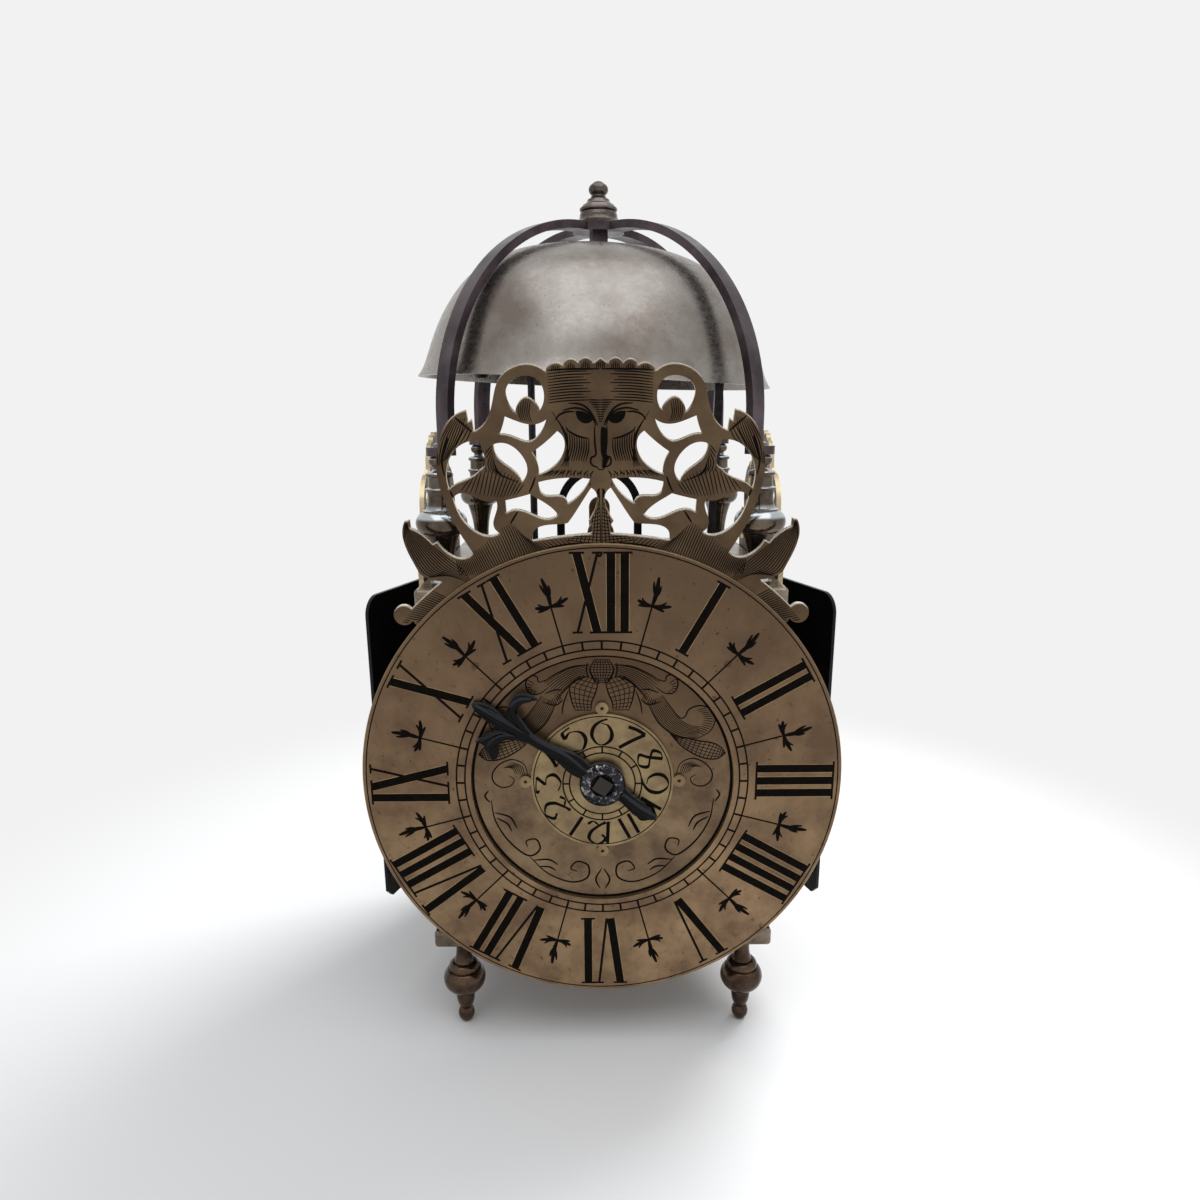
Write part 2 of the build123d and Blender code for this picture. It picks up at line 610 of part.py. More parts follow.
# Above the ring the front fret leans forwards, clear of the bell's rim.
bend_z = dial_z + dial_radius + 1.5
fret_bend = Plane(origin=(0, 0, bend_z))
with BuildPart() as flat_fret:
    with BuildSketch(dial_plane(sheet_back_y)):
        with BuildLine():
            draw_steps(resized(front_outline, fret_share))
        make_face()
        for opening in front_openings:
            with BuildLine():
                draw_steps(resized(opening, fret_share))
            make_face(mode=Mode.SUBTRACT)
        with Locations(*resized([volute_centre], fret_share)):
            Circle(volute_radius)
        with Locations(*fret_screws):
            Circle(screw_radius + screw_clearance, mode=Mode.SUBTRACT)
        mirror(about=Plane.YZ)
    extrude(amount=sheet_thickness)
    with BuildSketch(dial_plane(ring_back_y)):
        with Locations(*fret_screws):
            Circle(screw_head_radius + screw_clearance)
    extrude(amount=-screw_head_height, mode=Mode.SUBTRACT)
fret_foot = split(flat_fret.part, bisect_by=fret_bend, keep=Keep.BOTTOM)
fret_crest = split(flat_fret.part, bisect_by=fret_bend, keep=Keep.TOP)
with BuildPart() as front_fret:
    add(fret_foot)
    add(fret_crest.rotate(Axis((0, sheet_back_y, bend_z), (1, 0, 0)), fret_lean))
write(front_fret.part, "front_fret")

for name, side in (("left_fret", -1), ("right_fret", 1)):
    with BuildPart() as side_fret:
        with BuildSketch(side_plane(side * plate_half, roof_z)):
            with BuildLine():
                draw_steps(side_outline)
            make_face()
            for opening in side_openings:
                with BuildLine():
                    draw_steps(opening)
                make_face(mode=Mode.SUBTRACT)
            mirror(about=Plane.YZ)
        extrude(amount=side * sheet_thickness)
        with BuildSketch(side_plane(side * plate_half, dial_z)):
            with Locations(*side_screws):
                Circle(screw_radius + screw_clearance)
        extrude(amount=side * sheet_thickness, mode=Mode.SUBTRACT)
        with BuildSketch(side_plane(side * (plate_half + sheet_thickness), dial_z)):
            with Locations(*side_screws):
                Circle(screw_head_radius + screw_clearance)
        extrude(amount=-side * screw_head_height, mode=Mode.SUBTRACT)
    write(side_fret.part, name)

# Ten equal screws: four hold the dial plate, two the front fret and two each side fret.
with BuildPart() as sheet_screws:
    for radius, length in ((screw_head_radius, screw_head_height), (screw_radius, screw_length)):
        with BuildSketch(dial_plane(ring_back_y)):
            with Locations(*dial_screws, *fret_screws):
                Circle(radius)
        extrude(amount=-length)
        for side in (-1, 1):
            with BuildSketch(side_plane(side * (plate_half + sheet_thickness), dial_z)):
                with Locations(*side_screws):
                    Circle(radius)
            extrude(amount=-side * length)
write(sheet_screws.part, "sheet_screws")

# ---------------------------------------------------------------- bell, strap, top finial
# Two iron straps cross over the bell; their feet sit on the four finials. The bell hangs from a stud.
with BuildPart() as bell_straps:
    strap_inside = strap_upright - strap_thickness / 2
    strap_outside = strap_upright + strap_thickness / 2
    for bearing in (pillar_bearing, 180 - pillar_bearing, 180 + pillar_bearing, -pillar_bearing):
        cosine, sine = math.cos(math.radians(bearing)), math.sin(math.radians(bearing))
        with BuildSketch(Plane(origin=(0, 0, 0), x_dir=(cosine, sine, 0), z_dir=(sine, -cosine, 0))):
            with BuildLine():
                Polyline((strap_outside, strap_spring_z), (strap_outside, strap_foot_z + strap_thickness),
                         (pillar_reach, strap_foot_z + strap_thickness), (pillar_reach, strap_foot_z),
                         (strap_inside, strap_foot_z), (strap_inside, strap_spring_z))
                EllipticalCenterArc((strap_flat, strap_spring_z), strap_inside - strap_flat,
                                    strap_top_z - strap_thickness - strap_spring_z, start_angle=0,
                                    arc_size=90)
                Polyline((strap_flat, strap_top_z - strap_thickness), (0, strap_top_z - strap_thickness),
                         (0, strap_top_z), (strap_flat, strap_top_z))
                EllipticalCenterArc((strap_flat, strap_spring_z), strap_outside - strap_flat,
                                    strap_top_z - strap_spring_z, start_angle=0, arc_size=90)
            make_face()
        extrude(amount=strap_width / 2, both=True)
    with BuildSketch(Plane.XY.offset(strap_foot_z)):
        with GridLocations(2 * pillar_x, 2 * pillar_y, 2, 2):
            Circle(strap_eye_radius)
    extrude(amount=strap_thickness)
    with BuildSketch(Plane.XY.offset(strap_foot_z)):
        with GridLocations(2 * pillar_x, 2 * pillar_y, 2, 2):
            Circle(spigot_radius + bearing_clearance)
    extrude(amount=strap_thickness, mode=Mode.SUBTRACT)
    with BuildSketch(Plane.XY.offset(strap_top_z)):
        Circle(strap_hub_radius)
    extrude(amount=-strap_thickness)
    with BuildSketch(Plane.XY.offset(strap_top_z)):
        Circle(bell_stud_radius + bearing_clearance)
    extrude(amount=-strap_thickness, mode=Mode.SUBTRACT)
write(bell_straps.part, "bell_straps")

bell_stud_length = strap_thickness + 2 * bell_nut_height + bell_wall + 2 * bell_seat_gap + 1.6
top_finial = turned([
    (0, -bell_stud_length), (bell_stud_radius, -bell_stud_length), (bell_stud_radius, 0), (8.3, 0),
    (8.3, 0.8),
    (7.3, 1.4, 6.6, 3.2), (6.3, 4.2), (5.9, 4.4), (6.6, 5.1, 6.1, 5.8), (5.4, 6.6), (4.3, 7.3, 3.8, 8.3),
    (3.0, 8.8, 2.4, 9.8), (3.4, 11.6, 2.4, 13.2), (1.5, top_finial_height - 0.3), (0.6, top_finial_height),
    (0, top_finial_height),
], 0, 0, strap_top_z)
write(top_finial, "top_finial")

# Cast bell metal, hung a little out of level. Its side is drawn as shares of its own radius and height.
bell_curve = [
    (1.0, 0), (0.963, 0.092), (0.941, 0.181), (0.894, 0.364), (0.827, 0.545), (0.724, 0.728), (0.612, 0.845),
    (0.478, 0.925), (0.22, 0.985),
]
bell_plane = Plane(
    origin=(0, 0, bell_top_z),
    x_dir=(math.cos(math.radians(bell_tilt)), 0, -math.sin(math.radians(bell_tilt))),
    z_dir=(0, -1, 0),
)
bell_inner_radius = bell_radius - bell_wall
bell_inner_height = bell_height - bell_wall
bell_outside = [(bell_radius * r, bell_height * (h - 1)) for r, h in bell_curve]
bell_inside = [(bell_inner_radius * r, bell_inner_height * h - bell_height) for r, h in bell_curve]
bell_axis = Axis((0, 0, bell_top_z), (math.sin(math.radians(bell_tilt)), 0,
                                      math.cos(math.radians(bell_tilt))))
with BuildPart() as bell:
    with BuildSketch(bell_plane):
        with BuildLine():
            Line((bell_stud_radius + 0.3, 0), (bell_stud_radius + 0.3, -bell_wall))
            Spline((bell_stud_radius + 0.3, -bell_wall), *bell_inside[::-1])
            Line(bell_inside[0], bell_outside[0])
            Spline(*bell_outside, (bell_stud_radius + 0.3, 0))
        make_face()
    revolve(axis=bell_axis)
write(bell.part, "bell")

with BuildPart() as bell_nuts:
    upper_nut_z = strap_top_z - strap_thickness
    lower_nut_z = bell_top_z - bell_wall - bell_seat_gap
    for z in (upper_nut_z, lower_nut_z):
        with BuildSketch(Plane.XY.offset(z)):
            Rectangle(bell_nut_size, bell_nut_size, rotation=12)
            Circle(bell_stud_radius + bearing_clearance, mode=Mode.SUBTRACT)
        extrude(amount=-bell_nut_height)
write(bell_nuts.part, "bell_nuts")

# ---------------------------------------------------------------- cocks, back plate, hanging hoop
cock_width = 9.0
cock_thickness = 3.0
cock_foot_length = 9.0
cock_foot_height = 2.6
front_cock_y = crown_axis_y - 20.7         # front face of the front cock
back_cock_y = 48.0
verge_pivot_radius = 0.9

with BuildPart() as verge_cocks:
    for face_y, bore in ((front_cock_y, verge_pivot_radius), (back_cock_y, verge_radius)):
        with BuildSketch(front_plane(face_y + cock_thickness)):
            with Locations((0, (roof_z + verge_z) / 2)):
                Rectangle(cock_width, verge_z - roof_z)
            with Locations((0, verge_z)):
                Circle(cock_width / 2)
                Circle(bore + bearing_clearance, mode=Mode.SUBTRACT)
        extrude(amount=cock_thickness)
        with BuildSketch(Plane.XY.offset(roof_z)):
            with Locations((0, face_y - cock_foot_length / 2)):
                Rectangle(cock_width, cock_foot_length)
        extrude(amount=cock_foot_height)
write(verge_cocks.part, "verge_cocks")

back_plate_gap = 0.3
alarm_bracket_z = 117.0
alarm_bracket_height = 3.0
alarm_pivot_radius = 1.0
alarm_stud_radius = 1.6
alarm_rim_y = alarm_y + 4.5                # tips of the alarm wheel's teeth
with BuildPart() as back_plate:
    with BuildSketch(front_plane(back_plate_y + back_plate_thickness)):
        with Locations((0, (floor_plate_z + ceiling_z) / 2)):
            Rectangle(back_plate_width, pillar_length - 2 * back_plate_gap)
    extrude(amount=back_plate_thickness)
    with BuildSketch(front_plane(back_plate_y, alarm_x, alarm_z)):
        Circle(alarm_stud_radius)
    extrude(amount=back_plate_y - alarm_rim_y + 2.0)
    with BuildSketch(Plane.XY.offset(alarm_bracket_z)):
        with Locations((alarm_x, (back_plate_y + alarm_y) / 2)):
            Rectangle(6.0, back_plate_y - alarm_y)
        with Locations((alarm_x, alarm_y)):
            Circle(3.0)
            Circle(alarm_pivot_radius + bearing_clearance, mode=Mode.SUBTRACT)
    extrude(amount=alarm_bracket_height)
write(back_plate.part, "back_plate")

hoop_centre_z = roof_z + hoop_height - hoop_half_span - hoop_thickness / 2
with BuildPart() as hanging_hoop:
    with BuildSketch(front_plane(hoop_y + hoop_width / 2)):
        with Locations((0, hoop_centre_z)):
            Circle(hoop_half_span + hoop_thickness / 2)
            Circle(hoop_half_span - hoop_thickness / 2, mode=Mode.SUBTRACT)
            Rectangle(3 * hoop_half_span, 2 * hoop_half_span, align=(Align.CENTER, Align.MAX),
                      mode=Mode.SUBTRACT)
        for side in (-1, 1):
            with Locations((side * hoop_half_span, roof_z - hoop_reach)):
                Rectangle(hoop_thickness, hoop_centre_z - roof_z + hoop_reach,
                          align=(Align.CENTER, Align.MIN))
    extrude(amount=hoop_width)
write(hanging_hoop.part, "hanging_hoop")

# ---------------------------------------------------------------- going train
# Every arbor runs front to back between two bars; a pinion is cut from the arbor, a wheel is pinned on.
middle_end = middle_bar_y + pivot_length                       # going pivots end inside the middle bar
middle_start = middle_bar_y + bar_thickness - pivot_length     # strike pivots start there
front_shoulder = front_bar_y + bar_thickness + end_shake
middle_shoulder = middle_bar_y - end_shake
strike_shoulder = middle_bar_y + bar_thickness + end_shake
back_shoulder = back_bar_y - end_shake
back_end = back_bar_y + bar_thickness
report_y = -54.5                                               # front faces of the hour wheel's teeth


def pulley(y_from, y_to, radius, bore, z):
    """A rope pulley, grooved, on a great wheel's arbor."""
    middle = (y_from + y_to) / 2
    with BuildPart() as piece:
        with BuildSketch(arbor_plane(0, z)):
            with BuildLine():
                draw_steps([(y_from, bore), (y_from, radius), (y_from + 1.6, radius),
                            (middle, radius - 3.4, y_to - 1.6, radius), (y_to, radius), (y_to, bore)])
            make_face()
        revolve(axis=Axis((0, 0, z), (0, 1, 0)))
    return piece.part


with BuildPart() as going_great_arbor:
    add(arbor([(report_y - 0.6, front_shoulder, pivot_radius),
               (front_shoulder, middle_shoulder, great_arbor_radius),
               (middle_shoulder, middle_end, pivot_radius)], 0, great_arbor_z))
write(going_great_arbor.part, "going_great_arbor")
write(crossed_wheel(front_plane(going_great_y + wheel_thickness, 0, great_arbor_z),
                    wheel_points(great_teeth, great_module),
                    great_teeth * great_module / 2 - 4.0, 5.5, great_arbor_radius + bearing_clearance,
                    wheel_thickness),
      "going_great_wheel")
write(pulley(going_great_y - seat_gap - 10.5, going_great_y - seat_gap, pulley_radius,
             great_arbor_radius + bearing_clearance, great_arbor_z), "going_pulley")

with BuildPart() as going_second_arbor:
    add(arbor([(front_bar_y + seat_gap, front_shoulder, pivot_radius),
               (front_shoulder, middle_shoulder, arbor_radius),
               (middle_shoulder, middle_end, pivot_radius)], 0, second_z))
    add(leaves_on(front_plane(going_great_y + wheel_thickness + 1.0, 0, second_z),
                  leaf_points(great_pinion_leaves, great_module), wheel_thickness + 2.0))
write(going_second_arbor.part, "going_second_arbor")
write(crossed_wheel(front_plane(second_wheel_y + thin_wheel, 0, second_z),
                    wheel_points(second_teeth, second_module),
                    second_teeth * second_module / 2 - 3.4, 4.5, arbor_radius + bearing_clearance,
                    thin_wheel),
      "going_second_wheel")

with BuildPart() as contrate_arbor:
    add(arbor([(front_bar_y + seat_gap, front_shoulder, pivot_radius),
               (front_shoulder, second_wheel_y - 1.6, arbor_radius),
               (second_wheel_y - 1.6, second_wheel_y + 2.8, pinion_core_radius),
               (second_wheel_y + 2.8, middle_shoulder, arbor_radius),
               (middle_shoulder, middle_end, pivot_radius)],
              0, contrate_z))
    add(leaves_on(front_plane(second_wheel_y + 2.8, 0, contrate_z),
                  leaf_points(upper_pinion_leaves, second_module), 4.4))
write(contrate_arbor.part, "contrate_arbor")

# The contrate wheel is a dish with its teeth standing forwards, to meet the upright crown arbor.
contrate_rim = (contrate_radius - 1.0, contrate_radius + 1.0)
contrate_tip_y = contrate_y - 4.0
contrate_tooth_height = 1.8
contrate_gap = 1.35
with BuildPart() as contrate_wheel:
    with BuildSketch(front_plane(contrate_y + thin_wheel, 0, contrate_z)):
        Circle(contrate_rim[1])
        Circle(contrate_rim[0] - 1.6, mode=Mode.SUBTRACT)
        Circle(4.5)
        with PolarLocations(0, 4, start_angle=45):
            Rectangle(contrate_rim[0] - 1.0, 3.0, align=(Align.MIN, Align.CENTER))
        Circle(arbor_radius + bearing_clearance, mode=Mode.SUBTRACT)
    extrude(amount=thin_wheel)
    with BuildSketch(front_plane(contrate_y, 0, contrate_z)):
        Circle(contrate_rim[1])
        Circle(contrate_rim[0], mode=Mode.SUBTRACT)
    extrude(amount=contrate_y - contrate_tip_y)
    with BuildSketch(front_plane(contrate_tip_y, 0, contrate_z)):
        with PolarLocations(contrate_radius, contrate_teeth, start_angle=90 + 180 / contrate_teeth):
            Rectangle(3.0, contrate_gap)
    extrude(amount=-contrate_tooth_height, mode=Mode.SUBTRACT)
write(contrate_wheel.part, "contrate_wheel")

# ---------------------------------------------------------------- escapement
# Upright crown arbor from the potence through the top plate; the crown wheel's saw teeth stand up
# under the verge, whose two pallets sit over opposite sides of the wheel.
crown_pinion_z = contrate_z + contrate_rim[0] - 1.5
crown_pinion_length = 5.0
crown_disc_z = roof_z + 1.7
crown_band_thickness = 1.4
crown_tooth_height = 3.4
crown_rim_z = crown_disc_z + crown_band
with BuildPart() as crown_arbor:
    add(turned([
        (0, potence_z + 0.5), (crown_pivot_radius, potence_z + 0.5),
        (crown_pivot_radius, potence_z + potence_height + end_shake),
        (crown_arbor_radius, potence_z + potence_height + end_shake), (crown_arbor_radius, crown_pinion_z),
        (pinion_core_radius, crown_pinion_z), (pinion_core_radius, crown_pinion_z + crown_pinion_length),
        (crown_arbor_radius, crown_pinion_z + crown_pinion_length), (crown_arbor_radius, crown_disc_z + 3.0),
        (0, crown_disc_z + 3.0),
    ], 0, crown_axis_y, 0))
    with BuildSketch(Plane(origin=(0, crown_axis_y, crown_pinion_z))):
        with BuildLine():
            Polyline(*leaf_points(upper_pinion_leaves, contrate_module, 90.0), close=True)
        make_face()
    extrude(amount=crown_pinion_length)
write(crown_arbor.part, "crown_arbor")

with BuildPart() as crown_wheel:
    crown_centre = (0, crown_axis_y)
    with BuildSketch(Plane.XY.offset(crown_disc_z)):
        with Locations(crown_centre):
            Circle(crown_radius)
            Circle(crown_radius - 3.4, mode=Mode.SUBTRACT)
            Circle(3.6)
            with PolarLocations(0, 3):
                Rectangle(crown_radius - 1.0, 2.6, align=(Align.MIN, Align.CENTER))
            Circle(crown_arbor_radius + bearing_clearance, mode=Mode.SUBTRACT)
    extrude(amount=thin_wheel)
    with BuildSketch(Plane.XY.offset(crown_disc_z)):
        with Locations(crown_centre):
            Circle(crown_radius)
            Circle(crown_radius - crown_band_thickness, mode=Mode.SUBTRACT)
    extrude(amount=crown_band)
    crown_pitch = 2 * math.pi * crown_radius / crown_teeth
    for tooth in range(crown_teeth):
        turn = 2 * math.pi * tooth / crown_teeth
        outwards = (math.cos(turn), math.sin(turn), 0)
        along = (-math.sin(turn), math.cos(turn), 0)
        with BuildSketch(Plane(origin=(0, crown_axis_y, crown_rim_z), x_dir=along, z_dir=outwards)):
            with BuildLine():
                Polyline((-0.43 * crown_pitch, 0.5), (-0.43 * crown_pitch, -crown_tooth_height),
                         (0.43 * crown_pitch, -0.2), (0.43 * crown_pitch, 0.5), close=True)
            make_face()
        extrude(amount=crown_radius + 1.0, mode=Mode.SUBTRACT)
write(crown_wheel.part, "crown_wheel")

pallet_spread = crown_radius - crown_band_thickness / 2
with BuildPart() as verge:
    add(arbor([(front_cock_y + seat_gap, front_cock_y + cock_thickness + end_shake, verge_pivot_radius),
               (front_cock_y + cock_thickness + end_shake, pendulum_y + 2.0, verge_radius)], 0, verge_z))
    for side, tilt in ((-1, -135), (1, -45)):
        with BuildSketch(front_plane(crown_axis_y + side * pallet_spread + 1.7, 0, verge_z)):
            Rectangle(pallet_reach, 1.0, rotation=tilt, align=(Align.MIN, Align.CENTER))
        extrude(amount=3.4)
write(verge.part, "verge")

with BuildPart() as pendulum:
    with BuildSketch(front_plane(pendulum_y + 1.5, 0, verge_z)):
        Circle(2.6)
        Circle(verge_radius + bearing_clearance, mode=Mode.SUBTRACT)
    extrude(amount=3.0)
    with BuildSketch(Plane.XY.offset(verge_z - 2.0)):
        with Locations((0, pendulum_y)):
            Circle(0.9)
    extrude(amount=2.0 - pendulum_length)
    with BuildSketch(side_plane(0, verge_z - pendulum_length)):
        with BuildLine():
            draw_steps([
                (pendulum_y - bob_thickness / 2, 0), (pendulum_y - bob_thickness / 2, 2.0),
                (pendulum_y - 0.68 * bob_thickness / 2, 0.72 * bob_radius, pendulum_y - 0.4, bob_radius),
                (pendulum_y + 0.4, bob_radius),
                (pendulum_y + 0.68 * bob_thickness / 2, 0.72 * bob_radius, pendulum_y + bob_thickness / 2,
                 2.0),
                (pendulum_y + bob_thickness / 2, 0),
            ])
        make_face()
    revolve(axis=Axis((0, 0, verge_z - pendulum_length), (0, 1, 0)))
write(pendulum.part, "pendulum")

# ---------------------------------------------------------------- motion work and hand
star_radius = 9.0
star_points = 12
star_y = report_y + wheel_thickness                   # star lies behind the hour wheel
hour_bore = hour_stud_radius + bearing_clearance
lever_bearing = math.degrees(math.atan2(lifting_z - dial_z, lifting_x))
with BuildPart() as hour_wheel:
    add(crossed_wheel(dial_plane(report_y + wheel_thickness), wheel_points(hour_teeth, hour_module, -90.0),
                      hour_teeth * hour_module / 2 - 4.4, pipe_radius + 2.4, hour_bore, wheel_thickness))
    with BuildSketch(dial_plane(star_y + 1.5)):
        with BuildLine():
            Polyline(*[((star_radius - 2.6 * (corner % 2)) * math.cos(math.radians(lever_bearing + 15 * corner)),
                        (star_radius - 2.6 * (corner % 2)) * math.sin(math.radians(lever_bearing + 15 * corner)))
                       for corner in range(2 * star_points)], close=True)
        make_face()
        Circle(hour_bore, mode=Mode.SUBTRACT)
    extrude(amount=1.5)
    with BuildSketch(dial_plane(report_y)):
        Circle(pipe_radius)
        Circle(hour_bore, mode=Mode.SUBTRACT)
    extrude(amount=report_y - hand_back_y)
    with BuildSketch(dial_plane(hand_back_y)):
        Rectangle(hand_square, hand_square, rotation=hand_angle)
    extrude(amount=hand_thickness + 1.5)
    with BuildSketch(dial_plane(hand_back_y)):
        Circle(hour_bore)
    extrude(amount=hand_back_y - stud_y_end + 0.3, mode=Mode.SUBTRACT)
write(hour_wheel.part, "hour_wheel")

# Pierced iron hand, drawn along its own pointing direction: u towards the tip, v across.
hand_side_a = [(8.0, -3.5), [(14.8, -3.8), (20.9, -2.5), (25.6, -2.2), (30.6, -2.6), (35.1, -4.3),
                             (38.1, -5.0)],
               [(37.3, -9.2), (33.8, -13.0)], [(38.0, -12.6), (40.2, -11.0), (40.5, -6.1), (37.9, -1.4)],
               [(43.3, -2.7), (47.0, -2.6), (50.9, -0.2)]]
hand_side_b = [[(45.7, 1.9), (40.7, 2.0), (38.2, 2.0)], [(41.1, 5.6), (43.1, 10.4)],
               [(40.0, 9.8), (38.1, 10.8), (34.7, 12.8)],
               [(34.4, 10.4), (36.6, 7.0)], [(35.0, 4.0), (30.7, 1.4), (27.4, 0.9), (22.1, 1.1),
                                             (17.8, 1.2), (12.5, 2.3), (8.0, 2.2)]]
hand_tail = [(-7.0, 1.8), [(-10.6, 2.3), (-15.8, 3.3), (-19.6, 2.2), (-22.0, 0.7)],
             [(-19.5, -0.7), (-14.1, -1.9), (-7.0, -3.2)]]
hand_plane = Plane(
    origin=(0, hand_back_y, dial_z),
    x_dir=(-math.sin(math.radians(hand_angle)), 0, math.cos(math.radians(hand_angle))),
    z_dir=(0, -1, 0),
)
with BuildPart() as hour_hand:
    with BuildSketch(hand_plane):
        Circle(hand_boss_radius)
        with BuildLine():
            draw_steps([(5.0, -3.0), hand_side_a[0]] + hand_side_a[1:] + hand_side_b + [(5.0, 2.2)])
        make_face()
        with BuildLine():
            draw_steps([(-5.0, 1.8), hand_tail[0]] + hand_tail[1:] + [(-5.0, -3.0)])
        make_face()
    extrude(amount=hand_thickness)
    with BuildSketch(hand_plane):
        Rectangle(hand_square + 2 * bearing_clearance, hand_square + 2 * bearing_clearance)
    extrude(amount=2 * hand_thickness, mode=Mode.SUBTRACT)
write(hour_hand.part, "hour_hand")

with BuildPart() as report_pinion:
    with BuildSketch(front_plane(report_y + wheel_thickness + 0.4, 0, great_arbor_z)):
        with BuildLine():
            Polyline(*leaf_points(report_leaves, hour_module, 90.0), close=True)
        make_face()
        Circle(pivot_radius + bearing_clearance, mode=Mode.SUBTRACT)
    extrude(amount=wheel_thickness + 0.8)
write(report_pinion.part, "report_pinion")

# ---------------------------------------------------------------- strike train
with BuildPart() as strike_great_arbor:
    add(arbor([(middle_start, strike_shoulder, pivot_radius),
               (strike_shoulder, back_shoulder, great_arbor_radius),
               (back_shoulder, back_end + 3.8, pivot_radius)], 0, great_arbor_z))
    add(leaves_on(front_plane(back_end + 3.6, 0, great_arbor_z),
                  leaf_points(report_leaves, count_module, 90.0), 3.2))
write(strike_great_arbor.part, "strike_great_arbor")

pin_radius = 1.0
pin_length = 4.0
with BuildPart() as strike_great_wheel:
    add(crossed_wheel(front_plane(strike_great_y + wheel_thickness, 0, great_arbor_z),
                      wheel_points(great_teeth, great_module),
                      hammer_pin_circle - 1.8, 5.5, great_arbor_radius + bearing_clearance, wheel_thickness))
    with BuildSketch(front_plane(strike_great_y + wheel_thickness + pin_length, 0, great_arbor_z)):
        with PolarLocations(hammer_pin_circle, hammer_pins):
            Circle(pin_radius)
    extrude(amount=pin_length + 0.5)
write(strike_great_wheel.part, "strike_great_wheel")
write(pulley(strike_great_y - seat_gap - 8.6, strike_great_y - seat_gap, pulley_radius,
             great_arbor_radius + bearing_clearance, great_arbor_z), "strike_pulley")

with BuildPart() as hoop_arbor:
    add(arbor([(middle_start, strike_shoulder, pivot_radius), (strike_shoulder, back_shoulder, arbor_radius),
               (back_shoulder, back_end - seat_gap, pivot_radius)], 0, second_z))
    add(leaves_on(front_plane(strike_great_y + wheel_thickness + 1.0, 0, second_z),
                  leaf_points(great_pinion_leaves, great_module), wheel_thickness + 2.0))
write(hoop_arbor.part, "hoop_arbor")

# Locking hoop on the second wheel: a band with one notch, under the two levers.
band_radius = 14.2
band_thickness = 1.2
band_width = 6.4
notch_bearing = math.degrees(math.atan2(locking_z - second_z, locking_x))
with BuildPart() as hoop_wheel:
    add(crossed_wheel(front_plane(hoop_wheel_y + thin_wheel, 0, second_z),
                      wheel_points(second_teeth, second_module),
                      band_radius - band_thickness, 4.5, arbor_radius + bearing_clearance, thin_wheel))
    with BuildSketch(front_plane(hoop_wheel_y + thin_wheel + band_width, 0, second_z)):
        Circle(band_radius)
        Circle(band_radius - band_thickness, mode=Mode.SUBTRACT)
        with PolarLocations(band_radius, 1, start_angle=notch_bearing):
            Rectangle(6.0, 4.0, mode=Mode.SUBTRACT)
    extrude(amount=band_width)
write(hoop_wheel.part, "hoop_wheel")

fly_span = 31.0
fly_vane = (5.0, 15.0)                                 # where the vane starts, and its length
with BuildPart() as fly:
    add(arbor([(middle_start, strike_shoulder, pivot_radius),
               (strike_shoulder, hoop_wheel_y - 1.6, arbor_radius),
               (hoop_wheel_y - 1.6, hoop_wheel_y + 3.0, pinion_core_radius),
               (hoop_wheel_y + 3.0, back_shoulder, arbor_radius),
               (back_shoulder, back_end - seat_gap, pivot_radius)],
              0, contrate_z))
    add(leaves_on(front_plane(hoop_wheel_y + 3.0, 0, contrate_z),
                  leaf_points(upper_pinion_leaves, second_module), 4.6))
    with BuildSketch(front_plane(sum(fly_vane), 0, contrate_z)):
        Rectangle(fly_span, 0.8, rotation=20)
        Circle(arbor_radius + 1.0)
    extrude(amount=fly_vane[1])
write(fly.part, "fly")

# Count wheel with its notched disc: a notch after each hour's blows.
count_disc_radius = 27.0
count_wheel_y = back_end + 1.0
count_disc_y = count_wheel_y + wheel_thickness + 1.0
with BuildPart() as count_wheel:
    add(crossed_wheel(front_plane(count_wheel_y + wheel_thickness, 0, count_z),
                      wheel_points(count_teeth, count_module, -90.0),
                      count_teeth * count_module / 2 - 3.4, 4.5, count_stud_radius + bearing_clearance,
                      wheel_thickness))
    with BuildSketch(front_plane(count_disc_y + 1.2, 0, count_z)):
        Circle(count_disc_radius)
        Circle(count_disc_radius - 6.0, mode=Mode.SUBTRACT)
        Circle(4.5)
        with PolarLocations(0, 4):
            Rectangle(count_disc_radius - 5.0, 3.2, align=(Align.MIN, Align.CENTER))
        for hour in range(1, 13):
            with PolarLocations(count_disc_radius, 1, start_angle=100 - 360 * hour * (hour + 1) / 2 / 78):
                Rectangle(5.0, 2.2, mode=Mode.SUBTRACT)
        Circle(count_stud_radius + bearing_clearance, mode=Mode.SUBTRACT)
    extrude(amount=1.2)
    with BuildSketch(front_plane(count_disc_y, 0, count_z)):
        Circle(4.5)
        Circle(count_stud_radius + bearing_clearance, mode=Mode.SUBTRACT)
    extrude(amount=count_disc_y - count_wheel_y - wheel_thickness)
write(count_wheel.part, "count_wheel")

# ---------------------------------------------------------------- hammer and levers
# Iron. Each tip rests a little off what it works against: a pin, the star, the hoop or the count disc.
lever_air = 0.4
lever_width = 2.6
lever_thickness = 1.4


